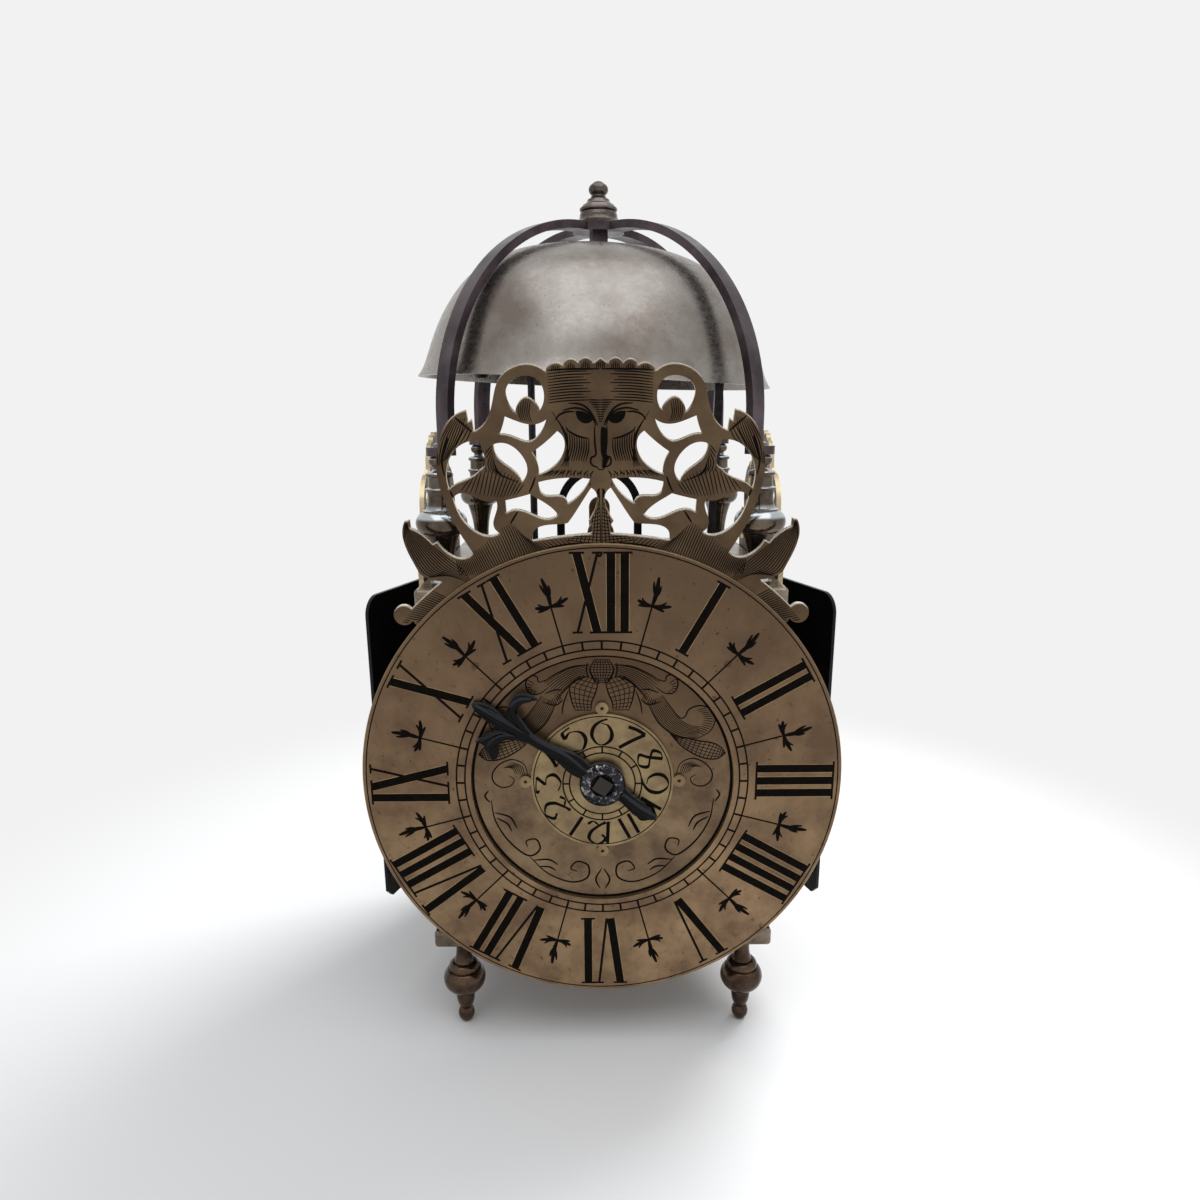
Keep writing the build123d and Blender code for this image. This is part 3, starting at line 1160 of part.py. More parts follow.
def lever_arm(y, pivot, target, reach):
    """A flat arm from a pivot towards the middle of a wheel, ending clear of a radius round it."""
    distance = math.dist(pivot, target)
    end_distance = reach + lever_air + lever_width / 2
    share = end_distance / distance
    end = (target[0] + (pivot[0] - target[0]) * share, target[1] + (pivot[1] - target[1]) * share)
    length = math.dist(pivot, end)
    turn = math.degrees(math.atan2(end[1] - pivot[1], end[0] - pivot[0]))
    with BuildPart() as piece:
        with BuildSketch(front_plane(y + lever_thickness)):
            with Locations(((pivot[0] + end[0]) / 2, (pivot[1] + end[1]) / 2)):
                SlotCenterToCenter(length, lever_width, rotation=turn)
            with Locations(pivot):
                Circle(3.0)
        extrude(amount=lever_thickness)
    return piece.part


hammer_shoulder = (strike_shoulder, back_shoulder)
shank_width = 3.2
shank_thickness = 2.6
hammer_head_z = bell_rim_z + 7.4
hammer_knee = (44.0, ceiling_z)
hammer_top = (46.2, hammer_head_z)
hammer_head = (41.4, 51.4)                             # from and to, across the bell
with BuildPart() as hammer:
    add(arbor([(middle_bar_y + seat_gap, strike_shoulder, pivot_radius),
               (*hammer_shoulder, great_arbor_radius),
               (back_shoulder, back_end - seat_gap, pivot_radius)], hammer_x, hammer_z))
    with BuildSketch(front_plane(hammer_y + shank_thickness / 2)):
        for start, end in (((hammer_x, hammer_z), hammer_knee), (hammer_knee, hammer_top)):
            with Locations(((start[0] + end[0]) / 2, (start[1] + end[1]) / 2)):
                SlotCenterToCenter(math.dist(start, end), shank_width,
                                   rotation=math.degrees(math.atan2(end[1] - start[1], end[0] - start[0])))
    extrude(amount=shank_thickness)
    with BuildSketch(side_plane(hammer_head[0])):
        with Locations((hammer_y, hammer_head_z)):
            Circle(3.4)
    extrude(amount=hammer_head[1] - hammer_head[0])
    with BuildSketch(front_plane(strike_great_y + wheel_thickness + 3.4)):
        with Locations((hammer_x, hammer_z)):
            Circle(4.0)
        with Locations((hammer_pin_circle + pin_radius + lever_air, hammer_z)):
            Rectangle(hammer_x - hammer_pin_circle - pin_radius - lever_air, 2.4,
                      align=(Align.MIN, Align.CENTER))
    extrude(amount=2.6)
write(hammer.part, "hammer")

with BuildPart() as lifting_lever:
    add(arbor([(front_bar_y - 0.7 - lever_thickness, front_shoulder, pivot_radius),
               (front_shoulder, back_shoulder, arbor_radius),
               (back_shoulder, back_end - seat_gap, pivot_radius)], lifting_x, lifting_z))
    add(lever_arm(front_bar_y - 0.7 - lever_thickness, (lifting_x, lifting_z), (0, dial_z), star_radius))
    add(lever_arm(hoop_wheel_y + thin_wheel + 1.9, (lifting_x, lifting_z), (0, second_z), band_radius))
write(lifting_lever.part, "lifting_lever")

with BuildPart() as locking_lever:
    add(arbor([(middle_bar_y + seat_gap, strike_shoulder, pivot_radius),
               (strike_shoulder, back_shoulder, arbor_radius),
               (back_shoulder, count_disc_y + lever_thickness, pivot_radius)], locking_x, locking_z))
    add(lever_arm(hoop_wheel_y + thin_wheel + 4.5, (locking_x, locking_z), (0, second_z), band_radius))
    add(lever_arm(count_disc_y, (locking_x, locking_z), (0, count_z), count_disc_radius))
write(locking_lever.part, "locking_lever")

# ---------------------------------------------------------------- alarm
with BuildPart() as alarm_wheel:
    with BuildSketch(arbor_plane(alarm_x, alarm_z)):
        with BuildLine():
            bore = alarm_stud_radius + bearing_clearance
            draw_steps([(alarm_rim_y, alarm_wheel_radius), (back_plate_y - 3.0, alarm_wheel_radius),
                        (back_plate_y - 3.0, 6.6), (back_plate_y - 1.7, 5.5, back_plate_y - seat_gap, 6.6),
                        (back_plate_y - seat_gap, bore), (back_plate_y - 4.4, bore),
                        (back_plate_y - 4.4, alarm_wheel_radius - 1.4),
                        (alarm_rim_y, alarm_wheel_radius - 1.4)])
        make_face()
    revolve(axis=Axis((alarm_x, 0, alarm_z), (0, 1, 0)))
    with BuildSketch(front_plane(alarm_rim_y, alarm_x, alarm_z)):
        with PolarLocations(alarm_wheel_radius, alarm_teeth):
            Rectangle(4.0, 2.1)
    extrude(amount=-1.4, mode=Mode.SUBTRACT)
write(alarm_wheel.part, "alarm_wheel")

alarm_head_place = (-44.5, 14.0)
alarm_head_z = bell_rim_z + 6.6
alarm_arm_thickness = 2.4
alarm_arm_length = math.dist((alarm_x, alarm_y), alarm_head_place)
alarm_arm_turn = math.degrees(math.atan2(alarm_head_place[1] - alarm_y, alarm_head_place[0] - alarm_x))
with BuildPart() as alarm_hammer:
    add(turned([
        (0, alarm_bracket_z + 0.5), (alarm_pivot_radius, alarm_bracket_z + 0.5),
        (alarm_pivot_radius, alarm_bracket_z + alarm_bracket_height + end_shake),
        (alarm_verge_radius, alarm_bracket_z + alarm_bracket_height + end_shake),
        (alarm_verge_radius, alarm_head_z + alarm_arm_thickness / 2),
        (0, alarm_head_z + alarm_arm_thickness / 2),
    ], alarm_x, alarm_y, 0))
    for side, turn in ((-1, 45), (1, 135)):
        with BuildSketch(Plane(origin=(alarm_x, alarm_y,
                                       alarm_z + side * (alarm_wheel_radius - 0.7) - 1.5))):
            Rectangle(4.0, 1.0, rotation=turn, align=(Align.MIN, Align.CENTER))
        extrude(amount=3.0)
    with BuildSketch(Plane.XY.offset(alarm_head_z - alarm_arm_thickness / 2)):
        with Locations(((alarm_x + alarm_head_place[0]) / 2, (alarm_y + alarm_head_place[1]) / 2)):
            SlotCenterToCenter(alarm_arm_length, 3.4, rotation=alarm_arm_turn)
    extrude(amount=alarm_arm_thickness)
    add(turned([(0, -4.0), (2.4, -4.0), (4.0, -2.0), (4.0, 2.0), (2.4, 4.0), (0, 4.0)], *alarm_head_place,
               alarm_head_z))
write(alarm_hammer.part, "alarm_hammer")

# ---------------------------------------------------------------- side doors
# Sheet iron on two pins in the plates, standing ajar.
door_barrel_radius = 1.4
door_tail = 1.3
for name, side in (("left_door", -1), ("right_door", 1)):
    sine, cosine = math.sin(math.radians(door_ajar)), math.cos(math.radians(door_ajar))
    door_low, door_high = floor_plate_z + door_gap, ceiling_z - door_gap
    with BuildPart() as door:
        with BuildSketch(Plane(origin=(side * door_x, door_y, 0), x_dir=(side * sine, -cosine, 0),
                               z_dir=(-cosine, -side * sine, 0))):
            with BuildLine():
                Polyline((-door_tail, door_low), (door_length - 3.0, door_low),
                         (door_length, door_low + 3.0),
                         (door_length, door_high - 7.0))
                RadiusArc((door_length, door_high - 7.0), (door_length - 7.0, door_high), -7.0)
                Polyline((door_length - 7.0, door_high), (-door_tail, door_high), (-door_tail, door_low))
            make_face()
        extrude(amount=door_thickness / 2, both=True)
        add(turned([(0, door_low - door_pin_length), (door_pin_radius, door_low - door_pin_length),
                    (door_pin_radius, door_low),
                    (door_barrel_radius, door_low), (door_barrel_radius, door_high),
                    (door_pin_radius, door_high),
                    (door_pin_radius, door_high + door_pin_length), (0, door_high + door_pin_length)],
                   side * door_x, door_y, 0))
    write(door.part, name)
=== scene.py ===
import bpy
import math
import numpy as np
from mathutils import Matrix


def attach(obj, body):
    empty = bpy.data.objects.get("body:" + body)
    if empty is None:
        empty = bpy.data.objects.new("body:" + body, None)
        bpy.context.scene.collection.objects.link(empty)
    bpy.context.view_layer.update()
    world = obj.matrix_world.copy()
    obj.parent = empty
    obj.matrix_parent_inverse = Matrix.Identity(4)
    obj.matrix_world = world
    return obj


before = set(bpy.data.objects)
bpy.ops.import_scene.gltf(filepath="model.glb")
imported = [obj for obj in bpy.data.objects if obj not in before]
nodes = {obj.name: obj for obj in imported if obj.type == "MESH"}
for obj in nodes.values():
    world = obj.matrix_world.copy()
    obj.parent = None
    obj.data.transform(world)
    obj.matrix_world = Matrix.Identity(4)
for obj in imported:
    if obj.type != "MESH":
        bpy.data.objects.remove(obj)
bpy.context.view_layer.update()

# ---------------------------------------------------------------- bottom and top plates
# Two thick square plates of cast brass, filed flat and rounded over at the edges. They were once
# bright; years of air and hands have browned them in clouds, with darker specks.
MM = 0.001


def hue(code):
    """An sRGB hex colour as linear red, green, blue and alpha."""
    shares = [int(code[i:i + 2], 16) / 255 for i in (1, 3, 5)]
    return tuple(s / 12.92 if s <= 0.04045 else ((s + 0.055) / 1.055) ** 2.4 for s in shares) + (1.0,)


def node(tree, kind, inputs=None, **properties):
    """Adds one node. inputs gives each socket, by name or number, a value or another node's output."""
    made = tree.nodes.new(kind)
    for name, value in properties.items():
        setattr(made, name, value)
    for name, value in (inputs or {}).items():
        if isinstance(value, bpy.types.NodeSocket):
            tree.links.new(value, made.inputs[name])
        else:
            made.inputs[name].default_value = value
    return made


def mixed(tree, share, base, colour):
    """The base tone turned to a hex colour by a share from 0 to 1."""
    return node(tree, "ShaderNodeMix", {0: share, 6: base, 7: hue(colour)}, data_type="RGBA").outputs[2]


def old_metal(name, clean, worn, stain, rough, metallic=0.85, blotch=22.0, speck=1.6, stained=0.62,
              pit=0.02, marks=(9.0, 9.0, 9.0), mark_depth=0.004, sawn=None, painted_shade_by_height=None, shine=0.5,
              painted_top_highlight=None):
    """An aged metal, from its own coordinates in the piece. Broad cloudy patches, blotch mm across,
    turn the clean colour to the worn one; specks, speck mm across, show the stain above the share
    stained; fine marks, as long in x, y and z as marks says in mm, roughen it and dent it. sawn is
    (colour, axis): faces square to that axis keep the tone, the cut edges beside them take the
    colour as a painted highlight. painted_shade_by_height is (colour, from, to): a painted shade, the
    tone goes to the colour between two heights in mm. painted_top_highlight is (colour, round): a
    painted highlight turns what faces up to the colour, and top edges within round mm too, where
    the face is read as if the edge were rounded that far."""
    material = bpy.data.materials.new(name)
    material.use_nodes = True
    tree = material.node_tree
    shader = tree.nodes["Principled BSDF"]
    place = node(tree, "ShaderNodeTexCoord").outputs["Object"]
    cloud = node(tree, "ShaderNodeTexNoise",
                 {"Vector": place, "Scale": 1000 / blotch, "Detail": 4.0, "Roughness": 0.6})
    patch = node(tree, "ShaderNodeMapRange",
                 {"Value": cloud.outputs["Fac"], "From Min": 0.36, "From Max": 0.64})
    tone = mixed(tree, patch.outputs[0], hue(clean), worn)
    grit = node(tree, "ShaderNodeTexNoise",
                {"Vector": place, "Scale": 1000 / speck, "Detail": 5.0, "Roughness": 0.68})
    spots = node(tree, "ShaderNodeMapRange",
                 {"Value": grit.outputs["Fac"], "From Min": stained, "From Max": stained + 0.14})
    # Painted shade: the tone turns to the given colour between two heights.
    if painted_shade_by_height:
        height = node(tree, "ShaderNodeSeparateXYZ", {0: place}).outputs["Z"]
        rise = node(tree, "ShaderNodeMapRange",
                    {"Value": height, "From Min": painted_shade_by_height[1] * MM, "From Max": painted_shade_by_height[2] * MM})
        tone = mixed(tree, rise.outputs[0], tone, painted_shade_by_height[0])
    tone = mixed(tree, spots.outputs[0], tone, stain)
    # Painted highlight: the cut edges beside the sheet's faces take their own colour.
    if sawn:
        turned_to = node(tree, "ShaderNodeSeparateXYZ",
                         {0: node(tree, "ShaderNodeTexCoord").outputs["Normal"]}).outputs[sawn[1]]
        square = node(tree, "ShaderNodeMath", {0: turned_to}, operation="ABSOLUTE")
        edge = node(tree, "ShaderNodeMapRange", {"Value": square.outputs[0], "From Min": 0.8,
                                                 "From Max": 0.5})
        tone = mixed(tree, edge.outputs[0], tone, sawn[0])
    # Painted highlight: what faces up, and top edges read as rounded, take the colour.
    if painted_top_highlight:
        facing = node(tree, "ShaderNodeTexCoord").outputs["Normal"]
        if painted_top_highlight[1]:
            rounded = node(tree, "ShaderNodeBevel", {"Radius": painted_top_highlight[1] * MM}, samples=4)
            facing = node(tree, "ShaderNodeVectorTransform", {0: rounded.outputs[0]}, vector_type="NORMAL",
                          convert_from="WORLD", convert_to="OBJECT").outputs[0]
        rise = node(tree, "ShaderNodeSeparateXYZ", {0: facing}).outputs["Z"]
        painted_highlight_share = node(tree, "ShaderNodeMapRange", {"Value": rise, "From Min": 0.3, "From Max": 0.5})
        tone = mixed(tree, painted_highlight_share.outputs[0], tone, painted_top_highlight[0])
    drawn = node(tree, "ShaderNodeMapping",
                 {"Vector": place, "Scale": tuple(1000 / length for length in marks)})
    lines = node(tree, "ShaderNodeTexNoise",
                 {"Vector": drawn.outputs[0], "Scale": 1.0, "Detail": 6.0, "Roughness": 0.62})
    sheen = node(tree, "ShaderNodeMapRange",
                 {"Value": lines.outputs["Fac"], "From Min": 0.3, "From Max": 0.7,
                  "To Min": max(rough - 0.1, 0.05), "To Max": rough + 0.1})
    rougher = node(tree, "ShaderNodeMath", {0: spots.outputs[0], 1: 0.12, 2: sheen.outputs[0]},
                   operation="MULTIPLY_ADD")
    scored = node(tree, "ShaderNodeBump",
                  {"Height": lines.outputs["Fac"], "Strength": 0.6, "Distance": mark_depth * MM})
    pitted = node(tree, "ShaderNodeBump",
                  {"Height": grit.outputs["Fac"], "Strength": 0.6, "Distance": pit * MM,
                   "Normal": scored.outputs[0]})
    tree.links.new(tone, shader.inputs["Base Color"])
    tree.links.new(rougher.outputs[0], shader.inputs["Roughness"])
    tree.links.new(pitted.outputs[0], shader.inputs["Normal"])
    shader.inputs["Metallic"].default_value = metallic
    shader.inputs["Specular IOR Level"].default_value = shine
    return material


def dress(material, *names):
    """Gives the named parts of the frame this finish."""
    for name in names:
        for place in nodes[name].material_slots:
            place.material = material


# Filed cast brass: long straight file marks from side to side under a brown bloom.
filed_brass = old_metal("cast_brass_filed", "#94887a", "#57493a", "#2a2019", 0.24,
                        blotch=16.0, speck=2.2, marks=(40.0, 1.2, 1.2), mark_depth=0.012)
dress(filed_brass, "bottom_plate", "top_plate")

# ---------------------------------------------------------------- pillars, feet and finials
# Cast brass turned in the lathe, one of each to a corner, screwed together through the plates. The
# tool leaves rings round them; a painted highlight on what faces up leaves the coves darker, and the feet
# are the darkest.
corners = ["front_left", "front_right", "back_left", "back_right"]
# Turned brass: fine level rings, 0.5 mm apart, that draw the highlights out sideways. What faces up takes a
# pale blue-grey painted highlight.
turned_brass = old_metal("turned_brass", "#6b6055", "#3f352c", "#221a15", 0.2,
                         painted_top_highlight=("#b3b8ba", 0), blotch=9.0, speck=1.8, marks=(30.0, 30.0, 0.55),
                         mark_depth=0.01)
# The same brass nearer the floor, bronzed by damp and polish left in the coves.
foot_brass = old_metal("turned_brass_bronzed", "#5e4a3b", "#2c2019", "#15100d", 0.22,
                       blotch=11.0, speck=1.5, stained=0.58, marks=(30.0, 30.0, 0.55), mark_depth=0.012)
dress(turned_brass, *["pillar_" + corner for corner in corners], *["finial_" + corner for corner in corners])
dress(foot_brass, *["foot_" + corner for corner in corners])

# ---------------------------------------------------------------- upright bars, cocks and back plate
# Flat brass bars tenoned into the plates carry the arbors; the verge hangs in two cocks on top, and
# an iron sheet shuts the back. Brass is left from the file, iron blackened with oil and smoke.
bar_brass = old_metal("bar_brass_filed", "#9c8058", "#6c5536", "#352817", 0.36,
                      marks=(1.4, 1.4, 30.0), mark_depth=0.012)
dress(bar_brass, "front_bar", "middle_bar", "back_bar", "verge_cocks")
# Wrought iron sheet: blue-black scale with a faint rust bloom, hammered in shallow dents.
sheet_iron = old_metal("wrought_iron_blackened", "#24252b", "#17161a", "#3a2a22", 0.42,
                       metallic=0.7, blotch=16.0, speck=3.0, stained=0.66, pit=0.05,
                       marks=(12.0, 12.0, 12.0), mark_depth=0.12)
dress(sheet_iron, "back_plate", "hanging_hoop")

# ---------------------------------------------------------------- wheel trains
# Brass wheels crossed out by hand and polished steel arbors with their leaves: the going train, the
# striking train behind it, the count wheel and the alarm wheel, all kept fairly clean by the case.
wheel_brass = old_metal("wheel_brass", "#b3935c", "#8a6d40", "#3c2c18", 0.3,
                        blotch=9.0, speck=1.2, marks=(3.0, 3.0, 3.0))
dress(wheel_brass, "going_great_wheel", "going_second_wheel", "contrate_wheel", "crown_wheel", "hour_wheel",
      "strike_great_wheel", "hoop_wheel", "count_wheel", "alarm_wheel", "fly")
# Forged steel arbors, filed bright and gone grey, with fine rings along their length.
arbor_steel = old_metal("arbor_steel", "#77757a", "#4c4a4e", "#2b2320", 0.3, metallic=1.0,
                        blotch=8.0, speck=1.4, marks=(20.0, 0.5, 20.0))
dress(arbor_steel, "going_great_arbor", "going_second_arbor", "contrate_arbor", "crown_arbor",
      "strike_great_arbor", "hoop_arbor", "report_pinion", "verge")
# Turned hardwood pulleys: long straight grain, darkened by the rope's wax.
pulley_wood = old_metal("boxwood_waxed", "#8b6236", "#6b4526", "#33200f", 0.45, metallic=0.0,
                        blotch=7.0, speck=0.9, marks=(30.0, 1.2, 1.2), mark_depth=0.03)
dress(pulley_wood, "going_pulley", "strike_pulley")
# Forged levers and hammers: dark iron in shallow dents, with rust in the specks.
lever_iron = old_metal("lever_iron_forged", "#4a474a", "#2c292b", "#3c2a20", 0.4, metallic=0.9,
                       blotch=10.0, speck=1.8, pit=0.03, marks=(8.0, 8.0, 8.0), mark_depth=0.05)
dress(lever_iron, "hammer", "lifting_lever", "locking_lever", "alarm_hammer")
# The pendulum's bob is lead cast in a lens and rubbed smooth on its wire.
bob_lead = old_metal("bob_lead_cast", "#6f6d6c", "#55504d", "#2e2b29", 0.5, metallic=0.8,
                     blotch=6.0, speck=1.0, marks=(5.0, 5.0, 5.0))
dress(bob_lead, "pendulum")

# ---------------------------------------------------------------- dial plate and its engraving
# A sheet of brass behind the ring. Its open middle is engraved: a netted basket at the top, shells
# under it, leaves falling to both sides into fir cones, and plain scrolls below. Wax fills the cuts.
dial_z = 101.9
dial_plate_y = -61.6
# The plate darkens towards the top, from 92 to 140 mm high: a painted shade.
dial_brass = old_metal("sheet_brass_matted", "#856f54", "#5d4a38", "#2a2019", 0.4, metallic=0.75,
                       painted_shade_by_height=("#57422f", 92, 140), blotch=13.0, speck=2.0, stained=0.62, pit=0.04,
                       marks=(4.0, 4.0, 4.0))
dress(dial_brass, "dial_plate", "dial_rivets")
# Engraver's wax: near black and matt, with streaks where it has shrunk from the cut.
wax = old_metal("engraving_wax_black", "#0a0806", "#110d09", "#30271d", 0.7, metallic=0.0, shine=0.04,
                blotch=3.0, speck=0.7, stained=0.62, marks=(0.5, 0.5, 4.0), mark_depth=0.02)
# The burr along a cut, polished by wiping: bare brass, brighter than the face, partly as a painted
# highlight.
cut_edge = old_metal("cut_edge_burnished_highlight", "#a88f6a", "#866d4c", "#4d3d2b", 0.4, metallic=0.8,
                     blotch=5.0, speck=0.8, stained=0.7, marks=(2.0, 2.0, 2.0))


def curve(points, count=24):
    """A smooth line through the points: a Catmull-Rom spline, one cubic between each two points,
    read at count even steps."""
    points = np.asarray(points, float)
    points = np.vstack([2 * points[0] - points[1], points, 2 * points[-1] - points[-2]])
    step = np.linspace(0, len(points) - 3, count)
    first = np.minimum(step.astype(int), len(points) - 4)
    share = (step - first)[:, None]
    a, b, c, d = (points[first + i] for i in range(4))
    return 0.5 * (2 * b + (c - a) * share + (2 * a - 5 * b + 4 * c - d) * share ** 2
                  + (3 * b - a - 3 * c + d) * share ** 3)


def flow(side_a, side_b, lines, reach=(0.0, 1.0), count=14):
    """Lines that run along a leaf: one side of the leaf moved by even shares to its other side."""
    a, b = curve(side_a, count), curve(side_b, count)
    return [a + (b - a) * share for share in np.linspace(*reach, lines)]


def rungs(side_a, side_b, lines, count=6):
    """Straight lines across a leaf, from one side to the other, at even steps along it."""
    a, b = curve(side_a, lines), curve(side_b, lines)
    return [start + (end - start) * np.linspace(0, 1, count)[:, None] for start, end in zip(a, b)]


def round_line(radius, start=0.0, end=360.0, count=73, centre=(0.0, 0.0)):
    """Part of a circle, its angles in degrees clockwise from twelve."""
    angle = np.radians(np.linspace(start, end, count))
    return np.stack([centre[0] + radius * np.sin(angle), centre[1] + radius * np.cos(angle)], 1)


def ridge(line, width, proud=0.04, edge=0.0, taper=False, closed=False):
    """A low closed bar along a line on a flat face; width is a number, or one value for each point.
    Each section has seven corners: it starts sunk mm under the face, steps off it at lip mm, rises
    to proud and swells by a share in its middle; edge mm at each side are the cut's bright burr.
    taper thins both ends by the root of a sine. Gives corners as (across, up, out), the faces, and
    which faces are burr."""
    sunk, lip, swell, section = 0.05, 0.006, 1.15, 7
    line = np.asarray(line, float)
    line = line[:-1] if closed else line
    count = len(line)
    half = np.broadcast_to(np.asarray(width, float) / 2, count).copy()
    if taper:
        half *= 0.25 + 0.75 * np.sqrt(np.sin(np.pi * np.linspace(0.02, 0.98, count)))
    along = np.roll(line, -1, 0) - np.roll(line, 1, 0) if closed else np.gradient(line, axis=0)
    along /= np.linalg.norm(along, axis=1)[:, None]
    side = np.stack([-along[:, 1], along[:, 0]], 1)
    band = np.minimum(max(edge, 0.02), 0.4 * half)
    across = np.stack([-half, -half, band - half, 0 * half, half - band, half, half], 1)
    out = np.broadcast_to([-sunk, lip, proud, swell * proud, proud, lip, -sunk], across.shape)
    flat = line[:, None, :] + side[:, None, :] * across[:, :, None]
    corners = np.concatenate([flat, out[:, :, None]], 2).reshape(-1, 3)
    rows = np.arange(count if closed else count - 1)[:, None] * section
    cell = np.arange(section)[None, :]
    ahead = (cell + 1) % section
    after = (rows + section) % (section * count)
    quads = np.stack([rows + cell, after + cell, after + ahead, rows + ahead], 2)
    burr = np.broadcast_to((edge > 0) & np.isin(cell, (1, 4)), quads.shape[:2])
    faces = quads.reshape(-1, 4).tolist()
    burr = burr.reshape(-1).tolist()
    if not closed:
        faces += [list(range(section)), list(range(section * count - 1, section * (count - 1) - 1, -1))]
        burr += [False, False]
    return corners, faces, burr


def dial_place(face_y):
    """Puts (across, up, out) mm, from the dial's middle, on the upright face at that depth."""
    def place(corners):
        return np.stack([corners[:, 0], face_y - corners[:, 2], dial_z + corners[:, 1]], 1) * MM
    return place


def add_piece(name, spots, faces, materials):
    """A mesh object at the origin from corners in metres."""
    mesh = bpy.data.meshes.new(name)
    mesh.from_pydata(spots, [], faces)
    for material in materials:
        mesh.materials.append(material)
    mesh.update()
    piece = bpy.data.objects.new(name, mesh)
    bpy.context.scene.collection.objects.link(piece)
    return piece


def engrave(name, ridges, place, body, materials=(wax, cut_edge)):
    """Joins ridges into one piece that rides on a body."""
    corners, faces, burrs, start = [], [], [], 0
    for points, cells, burr in ridges:
        corners.append(place(points))
        faces += [[start + i for i in cell] for cell in cells]
        burrs += burr
        start += len(points)
    piece = add_piece(name, np.concatenate(corners), faces, materials)
    piece.data.polygons.foreach_set("material_index", np.array(burrs, np.int32))
    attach(piece, body)


def both_sides(lines):
    """The lines and their mirror images about the upright middle line."""
    return list(lines) + [line[::-1] * (-1, 1) for line in lines]


basket = [(-2.4, 42.0), (-3.7, 38.6), (-2.0, 34.8)], [(2.4, 42.0), (3.7, 38.6), (2.0, 34.8)]
pod = [(1.0, 35.2), (2.0, 31.0), (3.4, 27.4), (3.6, 24.8)], [(6.6, 36.6), (10.4, 33.6), (10.0, 28.4), (8.8,
                                                                                                       24.8)]
upper_leaf = ([(4.0, 40.4), (10.0, 39.6), (15.5, 37.0), (19.0, 34.6)],
              [(4.0, 36.6), (8.6, 34.8), (12.4, 31.4), (14.6, 28.4)])
lower_leaf = ([(19.8, 29.8), (22.4, 26.0), (25.6, 22.0), (29.4, 19.6), (32.6, 19.2)],
              [(15.0, 27.6), (17.0, 23.0), (20.0, 18.8), (25.4, 15.2), (31.6, 14.6)])
cone = ([(22.5, 16.4), (27.0, 15.0), (31.8, 13.9), (36.8, 13.0), (39.6, 11.4), (41.2, 9.4)],
        [(22.5, 16.4), (26.0, 12.4), (30.2, 9.4), (34.4, 7.6), (38.4, 7.4), (41.2, 9.4)])
fine_cuts = both_sides(
    flow(*upper_leaf, 8, (0.08, 0.92), 20) + flow(*lower_leaf, 10, (0.08, 0.92), 24)
    + rungs([(22.0, 33.8), (22.9, 32.4), (21.6, 31.4)], [(24.2, 35.4), (24.8, 32.4), (22.4, 30.2)], 6)
    + rungs([(14.4, 30.6), (15.8, 29.2), (17.8, 28.4)], [(13.0, 28.2), (14.8, 26.8), (17.0, 26.2)], 7)
    + rungs([(31.4, 24.6), (33.4, 22.4), (33.0, 19.6), (31.0, 17.4)],
            [(34.4, 25.3), (37.0, 22.4), (36.4, 18.6), (34.0, 15.8)], 13)
    + flow([(26.0, 2.0), (27.0, 5.2), (30.4, 6.6)], [(29.0, 2.4), (30.4, 4.6), (33.4, 4.6)], 6)
)
nets = (flow(*basket, 8) + rungs(*basket, 9)
        + both_sides(rungs(*pod, 9) + flow(*pod, 6) + flow(*cone, 6) + rungs(*cone, 17)[1:-1]))
outlines = both_sides([
    curve(pod[1], 20), curve(pod[0], 14), curve(upper_leaf[0], 20), curve(upper_leaf[1], 20),
    curve([(2.4, 42.0), (3.9, 38.6), (2.2, 34.6), (0.0, 34.2)], 20),
    curve([(4.6, 41.0), (5.0, 38.6), (4.4, 36.0)], 10),
    curve([(18.4, 35.2), (20.6, 34.6), (21.2, 36.4), (23.6, 36.6), (24.9, 33.6), (23.4, 30.6), (20.4, 30.6),
           (17.6, 32.6)], 36),
    curve([(13.0, 31.8), (15.6, 31.8), (18.6, 30.6)], 10),
    curve([(12.8, 28.4), (15.2, 26.6), (19.4, 27.6)], 10),
    curve(lower_leaf[0][:3] + [(27.4, 22.4), (28.6, 24.8), (31.8, 26.1), (35.2, 25.2), (37.4, 21.6),
                               (35.8, 17.2),
                               (31.6, 14.6)], 48),
    curve(lower_leaf[1], 24), curve(cone[0], 24), curve(cone[1], 24),
    curve([(24.8, 1.8), (26.2, 5.8), (30.0, 7.6), (34.2, 6.0), (36.8, 2.6), (36.4, -0.6), (33.8, -2.4),
           (30.8, -1.8),
           (29.6, 0.4), (31.4, 1.8)], 48),
    curve([(11.0, 31.6), (12.6, 27.2), (13.2, 23.4)], 10),
    curve([(16.0, 25.0), (18.4, 20.6), (21.4, 17.4)], 10),
])
# Below, where a clock may carry a signature, plain scrolls follow the edge instead.
lower_scrolls = both_sides([
    curve([(37.6, -7.0), (36.4, -14.6), (32.0, -22.4), (25.6, -27.8), (21.6, -25.6), (22.6, -21.8),
           (26.0, -22.2), (25.8, -24.6)], 56),
    curve([(25.0, -28.4), (19.0, -34.6), (11.0, -38.0), (5.4, -36.4), (5.0, -31.8), (8.8, -30.2),
           (11.0, -32.8), (8.8, -34.0)], 56),
    curve([(36.6, -11.6), (31.4, -13.4), (29.2, -17.4)], 14),
    curve([(36.0, -13.6), (32.4, -15.8), (31.0, -18.6)], 12),
    curve([(24.0, -29.6), (18.6, -29.4), (15.4, -31.4)], 14),
    curve([(21.8, -32.0), (18.4, -32.2), (16.2, -33.6)], 12),
    curve([(0.9, -40.6), (2.4, -37.0), (0.4, -33.0)], 12),
    curve([(38.4, -3.6), (39.6, -5.6), (38.0, -8.0)], 10),
])
